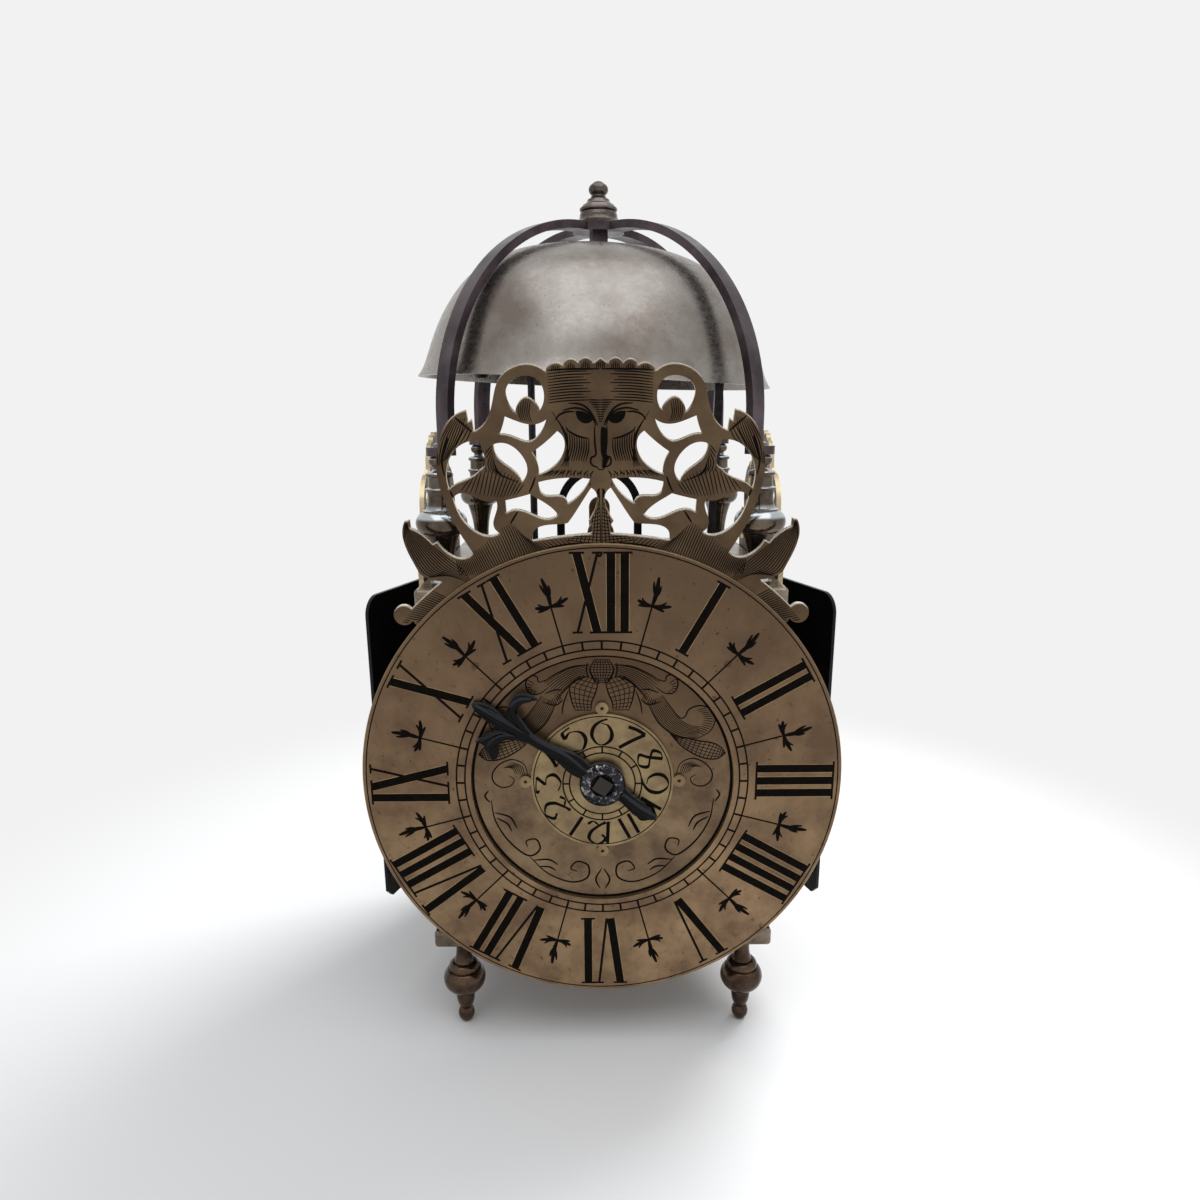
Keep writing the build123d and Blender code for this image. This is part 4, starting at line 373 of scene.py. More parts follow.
# The closed wax line at 43.4 mm is no cut: it is a painted shadow on the plate along the chapter ring's
# inner edge.
engrave("dial_centre_engraving",
        [ridge(line, 0.3, 0.02, taper=True) for line in fine_cuts]
        + [ridge(line, 0.26, 0.025) for line in nets]
        + [ridge(round_line(43.4, count=145), 0.9, 0.03, closed=True)]
        + [ridge(line, 0.5, 0.03, taper=True) for line in outlines]
        + [ridge(line, 0.66, 0.03, taper=True) for line in lower_scrolls],
        dial_place(dial_plate_y), "root")

# ---------------------------------------------------------------- chapter ring
# A flat brass ring riveted to the dial plate, engraved with hours, half hours and quarters. Each
# numeral is cut deep and filled with wax; the edges of the broad cuts are bare brass from wiping, painted
# brighter as a highlight.
ring_y = -63.2
# The ring darkens towards the top, from 30 to 190 mm high, as a painted shade; its sawn edges take a lighter
# painted highlight tone.
ring_brass = old_metal("ring_brass_wiped", "#9b8060", "#6c5541", "#2a1f18", 0.36, metallic=0.8,
                       painted_shade_by_height=("#5c4836", 30, 190), sawn=("#8f7d5e", "Y"), blotch=17.0, speck=2.1,
                       stained=0.6,
                       pit=0.06, marks=(3.0, 3.0, 3.0))
dress(ring_brass, "chapter_ring")
numeral_outer = 77.0
numeral_inner = 51.4
broad, narrow, serif = 3.05, 0.85, 0.68        # widths of the strokes
cut_burr = 0.16                                 # bright edge of a broad stroke
letters = {                                     # strokes: outer end, inner end, width; then the advance
    "I": ([(0.0, 0.0, broad)], 4.35),
    "V": ([(-3.9, -0.5, broad), (3.6, 0.9, narrow)], 10.5),
    "X": ([(-3.4, 3.0, broad), (3.1, -3.3, narrow)], 10.3),
}
hours = ["XII", "I", "II", "III", "IIII", "V", "VI", "VII", "VIII", "IX", "X", "XI"]


def turn(line, degrees):
    """A line of (across, radius) points carried clockwise round the dial's middle."""
    c, s = math.cos(math.radians(degrees)), math.sin(math.radians(degrees))
    line = np.asarray(line, float)
    return np.stack([line[:, 0] * c + line[:, 1] * s, line[:, 1] * c - line[:, 0] * s], 1)


def stroke(start, end, count=2):
    """A straight line between two points."""
    return np.linspace(start, end, count)


ring_cuts = []
for hour, word in enumerate(hours):
    across = -sum(letters[letter][1] for letter in word) / 2
    for letter in word:
        strokes, advance = letters[letter]
        across += advance / 2
        for outer, inner, width in strokes:
            line = stroke((across + outer, numeral_outer), (across + inner, numeral_inner), 5)
            ring_cuts.append(ridge(turn(line, hour * 30), width, 0.05, cut_burr if width == broad else 0.0))
            ends = [(outer, numeral_outer)] if letter == "V" else [(outer, numeral_outer),
                                                                   (inner, numeral_inner)]
            for end, radius in ends:
                reach = width / 2 + (0.9 if width == broad else 1.2)
                line = stroke((across + end - reach, radius + 0.1), (across + end + reach, radius + 0.1), 3)
                ring_cuts.append(ridge(turn(line, hour * 30), serif, 0.056))
        across += advance / 2
track_inner, track_outer = 45.9, 48.7
ring_cuts += [ridge(round_line(radius, count=145), width, 0.03, closed=True)
              for radius, width in ((track_inner, 0.55), (track_outer, 0.55), (78.7, 0.4))]
ring_cuts += [ridge(turn(stroke((0, track_inner), (0, track_outer)), 7.5 * tick), 0.72, 0.034)
              for tick in range(48)]
half_hour = [
    ([(0, track_inner), (0, 62.4)], 0.55, False), ([(0, 62.0), (0.2, 66.6), (-0.4, 71.6)], 1.5, True),
    ([(-0.1, 65.4), (-0.9, 67.6), (-1.5, 69.8)], 0.85, True),
    ([(0.2, 64.8), (1.0, 66.8), (1.1, 69.0)], 0.85, True),
    ([(-0.2, 62.1), (3.0, 62.5), (6.0, 63.4)], 1.3, True), ([(0.2, 62.1), (-2.8, 62.2), (-5.0, 62.9)], 1.3,
                                                            True),
    ([(-0.2, 62.0), (2.2, 61.7), (4.2, 61.2)], 1.0, True), ([(0.2, 62.0), (-2.4, 61.6), (-4.4, 61.3)], 1.0,
                                                            True),
    ([(1.6, 62.5), (3.2, 63.3), (4.2, 64.4)], 0.7, True), ([(-1.4, 62.4), (-3.0, 63.0), (-3.8, 63.9)], 0.7,
                                                           True),
]
for mark in range(12):
    ring_cuts += [ridge(turn(curve(points, 8), 15 + 30 * mark), width, 0.035, 0.0, taper)
                  for points, width, taper in half_hour]
# The pin that fastens the ring at the top shows as a dark round spot within the twelve.
ring_cuts.append(ridge(round_line(0.55, count=13, centre=(-0.6, 76.6)), 0.8, 0.04, closed=True))
engrave("ring_engraving", ring_cuts, dial_place(ring_y), "root")

# ---------------------------------------------------------------- frets
# Sheet brass sawn out and engraved, screwed to the top plate's edges on three sides. The front one
# carries an engraved mask under a scalloped crown; the sawn edges of all three carry a painted highlight.
# Front fret: its sawn edges take a cream painted highlight, and what faces up within 1.1 mm of an edge a
# near-white one.
fret_brass = old_metal("fret_brass_sawn", "#66533d", "#4d3c2c", "#2a2018", 0.36, metallic=0.8,
                       painted_top_highlight=("#fbf3e2", 1.1), sawn=("#c9b794", "Y"), blotch=18.0, speck=1.4, stained=0.65,
                       marks=(5.0, 5.0, 5.0))
# Side frets: their sawn edges take a cream painted highlight.
side_fret_brass = old_metal("side_fret_brass_sawn", "#705b43", "#5a4632", "#2c2118", 0.36, metallic=0.8,
                            sawn=("#cbb894", "X"), blotch=18.0, speck=1.4, stained=0.65,
                            marks=(5.0, 5.0, 5.0))
dress(fret_brass, "front_fret")
dress(side_fret_brass, "left_fret", "right_fret")
dress(turned_brass, "sheet_screws")
plate_edge, sheet_thick, roof_z = 60.0, 1.6, 166.8
fret_bend = 81.5                                # height of the bend over the dial's middle
fret_lean = math.radians(4.3)


def on_sheet(points, triangles):
    """True for each point that lies in one of the flat triangles: it is on the same side of all three
    edges. Points are (n, 2) and triangles (m, 3, 2)."""
    a, b, c = (triangles[None, :, i] for i in range(3))
    p = points[:, None, :]

    def side(start, end):
        return (end[..., 0] - start[..., 0]) * (p[..., 1] - start[..., 1]) \
            - (end[..., 1] - start[..., 1]) * (p[..., 0] - start[..., 0])
    signs = np.stack([side(a, b), side(b, c), side(c, a)])
    return ((signs > -1e-9).all(0) | (signs < 1e-9).all(0)).any(1)


def front_triangles(name, facing, across, middle):
    """A sheet's front face as flat triangles in mm: those that face along facing, as (across, up)."""
    mesh = nodes[name].data
    mesh.calc_loop_triangles()
    spots = np.zeros(len(mesh.vertices) * 3)
    mesh.vertices.foreach_get("co", spots)
    spots = spots.reshape(-1, 3) * 1000
    faces = np.zeros(len(mesh.loop_triangles) * 3, np.int32)
    mesh.loop_triangles.foreach_get("vertices", faces)
    spots = spots[faces.reshape(-1, 3)]
    normal = np.cross(spots[:, 1] - spots[:, 0], spots[:, 2] - spots[:, 0])
    length = np.linalg.norm(normal, axis=1)
    front = (normal @ np.array(facing, float)) > 0.95 * np.maximum(length, 1e-9)
    spots = spots[front & (length > 1e-9)]
    return np.stack([spots @ np.array(across, float), spots[:, :, 2] - middle], 2)


def kept_on(lines, triangles, margin=0.35):
    """The parts of the lines that stay a margin inside the sheet, read at even short steps."""
    kept = []
    for line in lines:
        lengths = np.concatenate([[0], np.cumsum(np.linalg.norm(np.diff(line, axis=0), axis=1))])
        count = max(int(lengths[-1] / 0.5), 5)
        steps = np.linspace(0, lengths[-1], count)
        line = np.stack([np.interp(steps, lengths, line[:, i]) for i in (0, 1)], 1)
        inside = np.ones(count, bool)
        for shift in ((margin, 0), (-margin, 0), (0, margin), (0, -margin)):
            inside &= on_sheet(line + shift, triangles)
        breaks = np.flatnonzero(np.diff(inside.astype(int))) + 1
        kept += [run for run, state in zip(np.split(line, breaks), np.split(inside, breaks))
                 if state[0] and len(run) > 2]
    return kept


def lean_place(corners):
    """Puts (across, up, out) on the front fret: upright to the bend, and turned forwards above it
    about the sheet's back."""
    up, out = corners[:, 1] - fret_bend, corners[:, 2] + sheet_thick
    crest = up > 0
    depth = np.where(crest, up * math.sin(fret_lean) + out * math.cos(fret_lean), out)
    height = np.where(crest, up * math.cos(fret_lean) - out * math.sin(fret_lean), up)
    return np.stack([corners[:, 0], -plate_edge - depth, dial_z + fret_bend + height], 1) * MM


leaf_cuts = both_sides(
    flow([(60.9, 86.8), (61.2, 80.0), (57.4, 71.2), (53.5, 69.4), (49.5, 71.0)],
         [(59.7, 86.4), (54.2, 80.6), (47.0, 74.4), (43.6, 71.5), (40.5, 66.5)], 13, count=20)
    + flow([(44.6, 117.6), (48.6, 110.8), (49.8, 103.7)], [(40.6, 118.2), (42.0, 113.6), (46.8, 106.0)], 8)
    + flow([(39.8, 116.6), (42.4, 112.4), (46.8, 104.4)], [(38.8, 115.0), (40.4, 111.8), (44.0, 109.0)], 3)
    + rungs([(47.6, 86.0), (43.0, 78.6), (38.4, 78.4), (33.4, 83.0), (28.0, 86.0), (21.4, 80.6),
             (12.0, 81.8)],
            [(44.6, 69.8), (40.0, 70.0), (34.6, 71.0), (29.0, 72.6), (23.0, 74.0), (15.0, 75.4),
             (6.0, 76.2)], 46, 8)
    + rungs(round_line(76.4, 37.0, 47.0, 3), round_line(84.2, 39.5, 51.0, 3), 20)
    + flow([(33.0, 110.0), (36.0, 106.0), (36.4, 102.4)], [(32.2, 104.0), (30.0, 101.0), (25.0, 99.0)], 8)
    + rungs([(23.6, 98.4), (28.0, 101.6), (34.0, 103.0), (40.0, 100.0)],
            [(26.0, 95.2), (31.0, 94.4), (36.0, 95.0), (43.0, 96.4)], 16)
    + flow([(20.6, 124.0), (21.4, 119.6), (20.6, 116.8)], [(24.2, 124.0), (24.4, 119.8), (23.8, 117.2)], 6)
    + flow([(14.6, 120.0), (10.4, 113.2), (10.2, 107.4), (12.0, 103.8)],
           [(11.4, 115.6), (10.4, 111.0), (9.8, 107.0), (10.0, 103.6)], 5, count=16)
    + rungs([(3.4, 97.6), (10.0, 100.4), (19.0, 100.8)], [(3.0, 101.4), (9.4, 102.8), (15.0, 102.4)], 14)
    + [stroke((peak + step, 132.1 - 0.06 * peak),
              (peak + 0.8 * step, 134.6 - 0.08 * peak - 0.6 * abs(step)), 4)
       for peak in (0.0, 4.4, 8.8, 13.2) for step in (-1.2, -0.6, 0.0, 0.6, 1.2)]
)
cloth_net = both_sides(
    flow([(0.6, 97.0), (0.3, 89.0), (0.2, 79.6)], [(1.6, 96.0), (6.0, 87.6), (10.4, 80.8)], 9, count=18)
    + rungs([(0.3, 97.0), (0.2, 88.0), (0.1, 79.6)], [(2.0, 94.6), (6.2, 86.4), (10.4, 80.8)], 16)
)
mask_lines = both_sides([
    curve([(11.4, 120.2), (7.8, 120.9), (4.6, 120.2), (2.5, 118.2), (1.5, 115.6)], 22),         # brows
    curve([(9.6, 122.3), (6.2, 122.0), (3.9, 120.7), (2.1, 118.3), (0.9, 115.8)], 22),
    curve([(13.6, 117.4), (12.4, 118.9), (10.2, 119.8), (7.8, 119.8)], 12),
    curve([(7.4, 119.9), (5.2, 119.6), (3.4, 118.6), (2.4, 117.5)], 12),                         # eyes
    curve([(7.4, 119.9), (6.7, 118.0), (5.2, 116.8), (3.5, 116.8), (2.4, 117.5)], 14),
    curve([(10.4, 115.4), (9.6, 114.2), (6.6, 112.6), (3.6, 112.0)], 12),                        # cheeks
    curve([(1.9, 115.6), (1.8, 111.0), (1.5, 107.2), (2.8, 106.4), (3.1, 104.8), (2.2, 103.8), (1.2, 103.5),
           (0.7, 102.8), (0.0, 102.7)], 34),                                                     # nose
    curve([(28.2, 86.2), (22.0, 96.0), (20.0, 100.6)], 12), curve([(44.0, 118.8), (38.6, 114.0)], 6),
    curve(round_line(80.2, 4, 12, 5), 8), curve([(46.0, 112.6), (48.2, 104.0), (44.2, 90.6)], 20),
    curve([(16.0, 131.6), (10.0, 131.9), (0.2, 132.0)], 12),
]) + flow([(0.2, 115.0), (0.2, 107.4)], [(1.5, 115.0), (1.4, 107.4)], 2) \
    + rungs([(0.1, 115.2), (0.1, 107.2)], [(1.6, 114.9), (1.5, 106.9)], 15, 3) \
    + rungs([(0.2, 106.6), (0.2, 103.4)], [(2.8, 106.2), (1.6, 104.0)], 6, 4)
forehead = both_sides(
    [curve([(15.6, level - 0.6), (10.0, level), (2.8 + 1.1 * (step % 3), level + 0.2)], 10)
     for step, level in enumerate(np.arange(123.0, 131.4, 0.82))]
    + [stroke((0.0, level), (reach, level + 0.1), 4)
       for level, reach in zip(np.arange(117.0, 123.2, 0.68),
                               (0.5, 0.7, 0.9, 1.1, 1.4, 1.8, 2.3, 2.8, 3.4, 3.8))]
    + flow([(3.6, 112.0), (3.7, 108.8), (4.6, 105.2)], [(10.2, 114.4), (10.0, 110.0), (11.2, 105.4)], 10)
    + rungs([(16.0, 101.4), (3.4, 101.0)], [(14.6, 102.6), (2.2, 102.4)], 8, 3)
)
eye_fill = both_sides(flow([(7.2, 119.7), (5.2, 119.4), (3.5, 118.4), (2.6, 117.5)],
                           [(7.0, 119.2), (6.2, 117.8), (4.6, 117.0), (2.8, 117.2)], 7))
front_sheet = front_triangles("front_fret", (0, -1, 0), (1, 0, 0), dial_z)
engrave("front_fret_engraving",
        [ridge(line, 0.34, 0.02, taper=True) for line in kept_on(leaf_cuts, front_sheet)]
        + [ridge(line, 0.42, 0.02, taper=True) for line in kept_on(forehead, front_sheet)]
        + [ridge(line, 0.3, 0.02) for line in kept_on(cloth_net, front_sheet)]
        + [ridge(line, 0.62, 0.03, taper=True) for line in kept_on(mask_lines, front_sheet)]
        + [ridge(line, 0.42, 0.025) for line in kept_on(eye_fill, front_sheet)],
        lean_place, "root")

side_cuts = both_sides(
    rungs([(0.5, 8.0), (8.0, 5.6), (16.0, 4.0), (26.0, 2.4), (40.0, 1.0)],
          [(0.5, -4.6), (9.0, -4.8), (18.0, -4.8), (28.0, -4.8), (41.5, -4.8)], 46)
    + flow([(0.8, 44.0), (6.0, 45.0), (12.6, 42.8), (16.4, 39.0)],
           [(0.6, 40.4), (4.0, 42.0), (10.0, 42.6), (15.0, 39.6)], 3)
    + flow([(17.0, 36.4), (14.4, 31.0), (9.0, 25.6)], [(21.0, 31.6), (17.0, 28.6), (12.0, 25.0)], 6)
    + flow([(23.4, 33.6), (28.6, 30.0), (32.0, 24.0)], [(21.8, 31.2), (27.0, 30.4), (31.0, 25.0)], 3)
    + rungs([(1.0, 36.0), (0.9, 30.0), (0.8, 22.0)], [(6.0, 37.4), (3.6, 28.6), (1.6, 22.0)], 12)
    + flow([(29.4, 22.4), (22.0, 23.4), (14.0, 25.2)], [(29.8, 19.6), (22.0, 21.6), (13.0, 24.4)], 4)
    + rungs([(27.6, 14.0), (20.0, 14.0), (12.0, 14.4)], [(25.0, 11.6), (18.0, 12.0), (11.4, 10.4)], 16)
    + rungs([(31.4, 12.8), (36.0, 11.8), (41.0, 8.0)], [(29.0, 4.8), (33.4, 8.4), (40.0, 3.4)], 14)
)


def side_place(side):
    """Puts (along, up, out) on the outer face of the side fret at side -1 or 1."""
    def place(corners):
        out = plate_edge + sheet_thick + corners[:, 2]
        return np.stack([side * out, side * corners[:, 0], roof_z + corners[:, 1]], 1) * MM
    return place


for name, side in (("left_fret", -1), ("right_fret", 1)):
    sheet = front_triangles(name, (side, 0, 0), (0, side, 0), roof_z)
    engrave(name + "_engraving", [ridge(line, 0.42, 0.02, taper=True) for line in kept_on(side_cuts, sheet)],
            side_place(side), "root")

# ---------------------------------------------------------------- alarm disc
# A thin brass disc on the hour pipe, turned by its ears to set the alarm. It carries one to twelve
# round a track with a line to each number, twelve at the foot. Fingers keep it the brightest.
disc_y = -62.75
disc_brass = old_metal("disc_brass_handled", "#96835f", "#76634a", "#3a2e24", 0.34, metallic=0.8,
                       blotch=9.0, speck=1.4, stained=0.63, marks=(2.5, 2.5, 2.5))
dress(disc_brass, "alarm_disc")
digits = {                                      # in shares of the height, from the foot of each figure
    "0": [[(0, 1.0), (-0.36, 0.5), (0, 0.0), (0.36, 0.5), (0, 1.0)]],
    "1": [[(0.02, 1.0), (-0.02, 0.0)]],
    "2": [[(-0.2, 0.6), (-0.34, 0.82), (0.0, 1.04), (0.34, 0.8), (0.26, 0.46), (-0.06, 0.2), (-0.36, 0.02)],
          [(-0.38, 0.06), (-0.08, 0.14), (0.16, -0.02), (0.4, 0.1)]],
    "3": [[(-0.36, 0.9), (-0.3, 1.04), (0.3, 1.02)], [(0.3, 1.02), (-0.02, 0.66)],
          [(-0.06, 0.64), (0.3, 0.58), (0.4, 0.26), (0.06, 0.0), (-0.32, 0.12)]],
    "4": [[(0.08, 1.0), (-0.1, 0.6), (-0.3, 0.3)], [(-0.3, 0.3), (0.3, 0.34)], [(0.12, 0.7), (0.1, 0.0)]],
    "5": [[(-0.34, 0.74), (-0.3, 1.02), (0.08, 1.1)],
          [(-0.34, 0.74), (-0.02, 0.9), (0.36, 0.7), (0.4, 0.32), (0.08, 0.0), (-0.3, 0.1)]],
    "6": [[(0.22, 1.12), (-0.06, 1.02), (-0.34, 0.78), (-0.42, 0.4), (-0.22, 0.06), (0.06, 0.0), (0.34, 0.2),
           (0.4, 0.52), (0.24, 0.84), (-0.02, 0.94)]],
    "7": [[(-0.32, 0.98), (0.06, 1.04), (0.46, 1.02)], [(0.46, 1.02), (0.1, 0.5), (-0.2, 0.0)]],
    "8": [[(0.3, 0.98), (0.04, 1.04), (-0.2, 0.82), (0.0, 0.56), (0.3, 0.28), (0.04, 0.0), (-0.32, 0.22),
           (-0.06, 0.5), (0.3, 0.98)]],
    "9": [[(-0.22, -0.1), (0.06, 0.0), (0.34, 0.24), (0.42, 0.62), (0.22, 0.96), (-0.06, 1.02),
           (-0.34, 0.82),
           (-0.4, 0.5), (-0.24, 0.2), (0.02, 0.12)]],
}
figure_height, figure_foot = 8.0, 13.9
track_shift = (0.0, -0.8)                       # the figures' circles were struck a little off the middle


def pen_width(line, thin=0.36, thick=1.3, angle=12.0):
    """The width of a quill's stroke: thin along the nib's own angle, thick square to it."""
    along = np.gradient(line, axis=0)
    slope = np.arctan2(along[:, 1], along[:, 0])
    return thin + (thick - thin) * np.abs(np.sin(slope + math.radians(angle))) ** 1.5


disc_cuts = []
for number in range(1, 13):
    word = str(number)
    for place_in_word, digit in enumerate(word):
        shift = (place_in_word - (len(word) - 1) / 2) * 3.6
        for points in digits[digit]:
            line = curve(points, 6 * len(points)) * figure_height
            width = 1.2 if digit == "1" or digits[digit][0] is points and digit == "7" else pen_width(line)
            line = turn(line + (shift, figure_foot), 180 + 30 * number) + track_shift
            disc_cuts.append(ridge(line, width, 0.03))
disc_cuts += [ridge(round_line(radius, count=97, centre=centre), width, 0.028, closed=True)
              for radius, width, centre in ((23.0, 0.36, (0, 0)), (13.2, 0.5, track_shift),
                                            (11.0, 0.5, track_shift))]
disc_cuts += [ridge(turn(stroke((0, 11.0), (0, 13.2)), 30 * tick) + track_shift, 0.6, 0.03)
              for tick in range(12)]
engrave("alarm_disc_engraving", disc_cuts, dial_place(disc_y), "alarm_setting")

# ---------------------------------------------------------------- hour hand
# One iron hand, sawn and filed from sheet, its leaves carved in low relief and blacked with oil. It
# sits on the pipe's square under a turned collet that has worn to bare metal.
# What faces up on the hand, and its top edges within 0.8 mm, take a grey painted highlight.
hand_iron = old_metal("hand_iron_blacked", "#0a0a0c", "#060608", "#2a2a2c", 0.2, metallic=0.1, shine=0.12,
                      painted_top_highlight=("#3b3c42", 0.8),
                      blotch=6.0, speck=1.0, stained=0.68, pit=0.02, marks=(2.0, 2.0, 2.0), mark_depth=0.03)
dress(hand_iron, "hour_hand")
# The pipe's square end, in front of the hand, is as black as the hand where it was wiped with it.
pipe_brass = wheel_brass.copy()
pipe_brass.name = "pipe_brass_blacked_end"
tree = pipe_brass.node_tree
shader = tree.nodes["Principled BSDF"]
brass = shader.inputs["Base Color"].links[0].from_socket
depth = node(tree, "ShaderNodeSeparateXYZ", {0: node(tree, "ShaderNodeTexCoord").outputs["Object"]})
front = node(tree, "ShaderNodeMapRange",
             {"Value": depth.outputs["Y"], "From Min": -0.0652, "From Max": -0.0656})
tree.links.new(mixed(tree, front.outputs[0], brass, "#37322f"), shader.inputs["Base Color"])
dress(pipe_brass, "hour_wheel")
hand_face_y = -65.8
hand_turn = 56.3                                # degrees left of twelve


def hand_place(corners):
    """Puts (towards the tip, across, out) on the hand's face."""
    c, s = math.cos(math.radians(hand_turn)), math.sin(math.radians(hand_turn))
    u, v = corners[:, 0], corners[:, 1]
    return np.stack([-u * s - v * c, hand_face_y - corners[:, 2], dial_z + u * c - v * s], 1) * MM


def relief(points, width, height, count=24):
    """A carved vein: a bar along a curve that swells to width in its middle, with a rounded back."""
    line = curve(points, count)
    swell = np.sqrt(np.sin(np.pi * np.linspace(0.03, 0.97, count)))
    corners, faces, burr = ridge(line, width * (0.2 + 0.8 * swell), height, 0.35 * width)
    out = corners[:, 2].reshape(count, -1)
    corners[:, 2] = np.where(out > 0.001, out * (0.25 + 0.75 * swell[:, None]), out).reshape(-1)
    return corners, faces, [False] * len(burr)


hand_veins = [
    relief([(7.0, -0.6), (16.0, -1.4), (24.0, -0.7), (32.0, -0.6), (41.0, -0.3), (50.0, -0.2)],
           3.6, 1.3, 40),
    relief([(28.0, -1.4), (33.4, -3.0), (38.6, -5.6), (38.6, -9.4), (35.6, -12.2)], 2.8, 1.3),
    relief([(34.0, -2.4), (38.6, -3.6), (39.8, -7.0), (38.0, -11.4)], 1.4, 0.7),
    relief([(28.0, 0.2), (34.0, 1.8), (37.4, 4.8), (38.4, 8.6), (38.6, 10.2)], 2.8, 1.3),
    relief([(33.0, 0.6), (38.0, 3.0), (41.0, 7.4), (41.8, 9.4)], 1.1, 0.7),
    relief([(34.0, 0.8), (40.0, 1.2), (46.0, 1.2)], 0.9, 0.5),
    relief([(36.0, -1.6), (41.0, -1.6), (46.0, -1.6)], 0.9, 0.5),
    relief([(-7.2, -0.6), (-12.0, 0.4), (-17.0, 0.6), (-21.4, 0.1)], 3.4, 1.28),
]
engrave("hand_carving", hand_veins, hand_place, "hour", (hand_iron, hand_iron))

# Turned iron collet, the black rubbed through to bright scratched metal by generations of hands.
collet_iron = old_metal("collet_iron_rubbed", "#35353a", "#1a1a1e", "#b9b6b0", 0.3, metallic=0.95,
                        blotch=5.0, speck=1.5, stained=0.53, marks=(1.0, 1.0, 1.0), mark_depth=0.03)


def lathe(name, profile, centre, body, material, count=72):
    """A closed profile of (radius, out) carried round the dial's axis at centre (x, z), in mm."""
    profile = np.asarray(profile, float)
    angle = np.linspace(0, 2 * math.pi, count, endpoint=False)
    radius, out = profile[:, 0], profile[:, 1]
    spots = np.stack([
        centre[0] + np.outer(np.cos(angle), radius),
        np.broadcast_to(-out, (count, len(out))),
        centre[1] + np.outer(np.sin(angle), radius),
    ], 2).reshape(-1, 3) * MM
    rows = np.arange(count)[:, None] * len(profile)
    after = (rows + len(profile)) % (count * len(profile))
    cell = np.arange(len(profile))[None, :]
    ahead = (cell + 1) % len(profile)
    quads = np.stack([rows + cell, rows + ahead, after + ahead, after + cell], 2).reshape(-1, 4)
    piece = add_piece(name, spots, quads.tolist(), [material])
    piece.data.polygons.foreach_set("use_smooth", np.ones(len(quads), bool))
    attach(piece, body)


lathe("hand_collet",
      [(3.8, 65.7), (3.8, 66.6), (4.4, 66.8), (5.6, 66.7), (6.6, 66.3), (7.3, 65.9), (7.3, 65.7)],
      (0, dial_z), "hour", collet_iron)

# ---------------------------------------------------------------- bell, straps and top finial
# The bell is cast bell metal turned thin, held by nuts under a crossed iron strap that springs from
# the four finials. It has gone silver grey with brown clouds; the straps are dark with a plum sheen.
bell_metal = old_metal("bell_metal_turned", "#938e88", "#746a63", "#4d3f35", 0.3, metallic=0.9,
                       blotch=24.0, speck=0.9, stained=0.62, pit=0.02,
                       marks=(2.0, 2.0, 1.2), mark_depth=0.002)
dress(bell_metal, "bell")
strap_iron = old_metal("strap_iron_forged", "#564b50", "#352d31", "#4d3c33", 0.3, metallic=0.85,
                       blotch=14.0, speck=1.6, stained=0.66, pit=0.03,
                       marks=(10.0, 10.0, 10.0), mark_depth=0.05)
dress(strap_iron, "bell_straps", "bell_nuts")
cap_bronze = old_metal("cap_bronze_turned", "#6f6660", "#453b37", "#231c1a", 0.2,
                       blotch=7.0, speck=1.2, marks=(30.0, 30.0, 0.5), mark_depth=0.01)
dress(cap_bronze, "top_finial")

# ---------------------------------------------------------------- doors
# Two sheet iron doors on pins between the plates, standing ajar. Hammered flat and blacked, so dark
# that little but their dents and edges shows.
door_iron = old_metal("door_iron_hammered", "#1a1b20", "#101014", "#2c2520", 0.38, metallic=0.7,
                      blotch=18.0, speck=2.4, stained=0.66, pit=0.05,
                      marks=(14.0, 14.0, 14.0), mark_depth=0.15)
dress(door_iron, "left_door", "right_door")

# ---------------------------------------------------------------- floor, light and camera
# A pale floor and room that are also what the metal mirrors, a small lamp high behind the clock's
# right shoulder, a broad one overhead and a little in front, and a camera above the dial.
pale = "#f2f2f2"
floor_paper = bpy.data.materials.new("paper_floor")
floor_paper.use_nodes = True
tree = floor_paper.node_tree
paper = tree.nodes["Principled BSDF"]
paper.inputs["Base Color"].default_value = hue("#f4f4f4")
paper.inputs["Roughness"].default_value = 0.9
paper.inputs["Specular IOR Level"].default_value = 0.0
spot = node(tree, "ShaderNodeTexCoord").outputs["Object"]
distance = node(tree, "ShaderNodeVectorMath", {0: spot}, operation="LENGTH")
fade = node(tree, "ShaderNodeMapRange",
            {"Value": distance.outputs["Value"], "From Min": 0.15, "From Max": 0.36},
            interpolation_type="SMOOTHSTEP")


def looked_at(tree):
    """1 for rays from the camera, from a mirroring surface or through a clear one, else 0."""
    rays = node(tree, "ShaderNodeLightPath").outputs
    seen = node(tree, "ShaderNodeMath", {0: rays["Is Camera Ray"], 1: rays["Is Glossy Ray"]},
                operation="MAXIMUM")
    return node(tree, "ShaderNodeMath", {0: seen.outputs[0], 1: rays["Is Transmission Ray"]},
                operation="MAXIMUM").outputs[0]


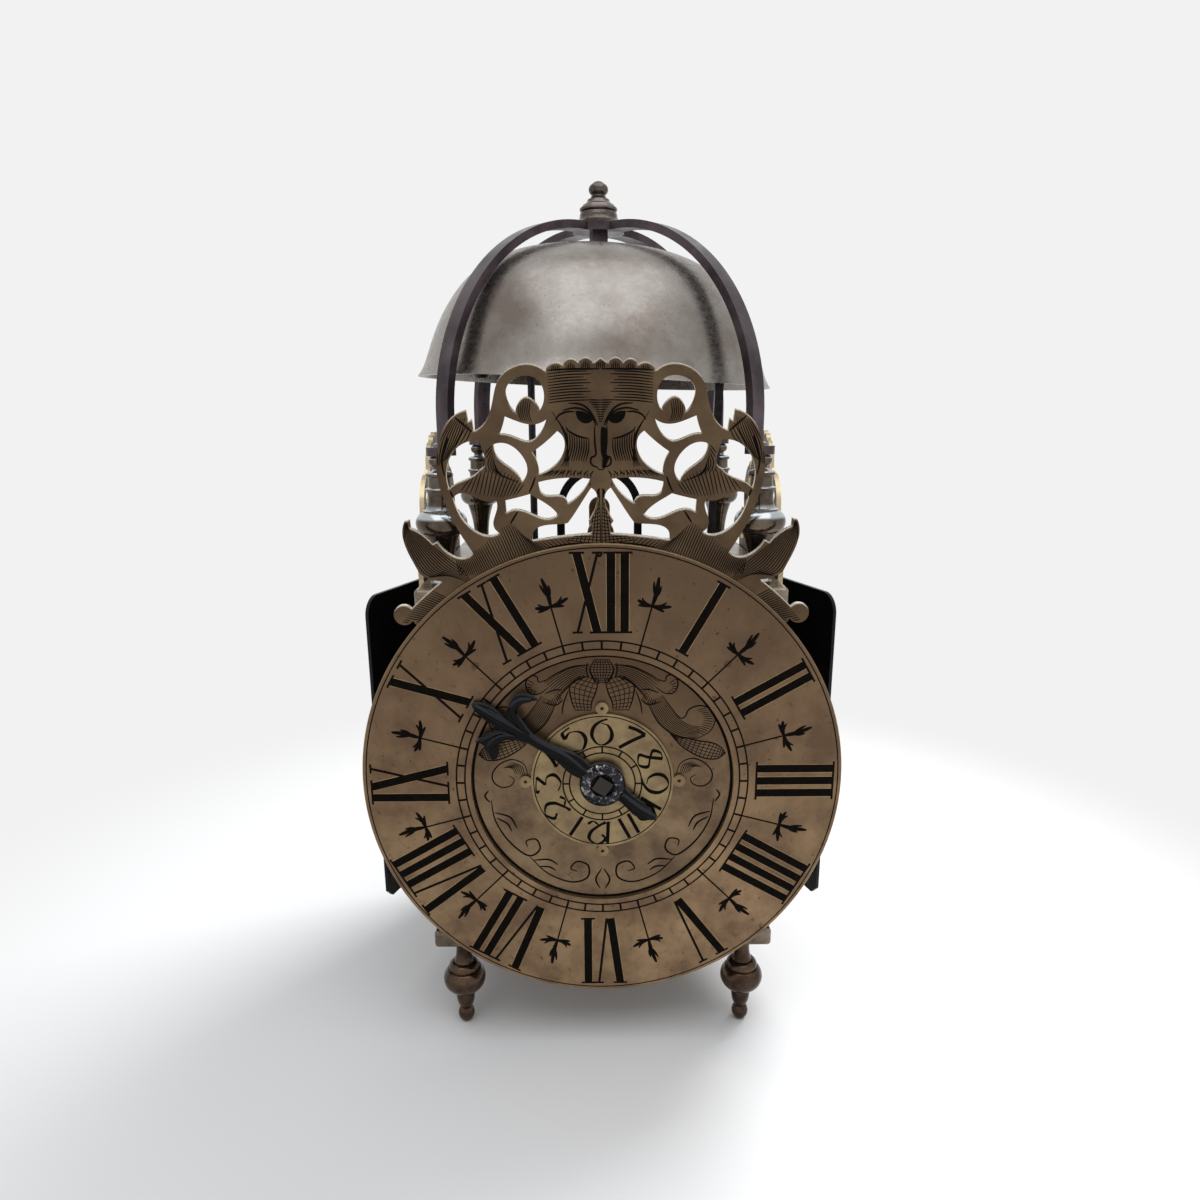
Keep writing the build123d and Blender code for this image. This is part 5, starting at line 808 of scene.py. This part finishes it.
share = node(tree, "ShaderNodeMath", {0: fade.outputs[0], 1: looked_at(tree)}, operation="MULTIPLY")
glow = node(tree, "ShaderNodeEmission", {"Color": hue(pale), "Strength": 1.0})
blend = node(tree, "ShaderNodeMixShader", {0: share.outputs[0], 1: paper.outputs[0], 2: glow.outputs[0]})
tree.links.new(blend.outputs[0], tree.nodes["Material Output"].inputs["Surface"])
floor = add_piece("floor", [(-4, -4, 0), (4, -4, 0), (4, 4, 0), (-4, 4, 0)], [(0, 1, 2, 3)], [floor_paper])

room = bpy.data.worlds.new("room")
bpy.context.scene.world = room
room.use_nodes = True
tree = room.node_tree
tree.nodes.clear()
shown = node(tree, "ShaderNodeBackground", {"Color": hue(pale), "Strength": 1.0})
filling = node(tree, "ShaderNodeBackground", {"Color": hue("#f0f0f0"), "Strength": 0.5})
blend = node(tree, "ShaderNodeMixShader", {0: looked_at(tree), 1: filling.outputs[0], 2: shown.outputs[0]})
node(tree, "ShaderNodeOutputWorld", {"Surface": blend.outputs[0]})


def lamp(name, place, aim, size, power, tint="#ffffff"):
    """A square soft lamp that faces its aim."""
    light = bpy.data.lights.new(name, "AREA")
    light.size = size
    light.energy = power
    light.color = hue(tint)[:3]
    made = bpy.data.objects.new(name, light)
    made.location = place
    bpy.context.scene.collection.objects.link(made)
    ahead = np.array(aim, float) - np.array(place, float)
    yaw = math.atan2(ahead[1], ahead[0])
    tilt = math.atan2(math.hypot(ahead[0], ahead[1]), -ahead[2])
    made.rotation_euler = (tilt, 0, yaw - math.pi / 2)
    return made


key = lamp("key_lamp", (0.5, 0.45, 0.9), (0, 0, 0.1), 0.45, 9.0)
key.visible_glossy = False
lamp("top_lamp", (0.05, -0.35, 1.5), (0, 0, 0.15), 1.6, 12.0, "#eff3f8")

camera_data = bpy.data.cameras.new("camera")
camera_data.sensor_width = 36.0
camera_data.lens = 26.616
camera_data.shift_y = 0.0421
camera_data.clip_start = 0.01
camera = bpy.data.objects.new("camera", camera_data)
camera.location = (-0.00184, -0.3383, 0.2213)
camera.rotation_euler = (math.radians(90 - 15.034), math.radians(0.288), math.radians(-0.344))
bpy.context.scene.collection.objects.link(camera)
bpy.context.scene.camera = camera
bpy.context.scene.view_settings.view_transform = "Standard"
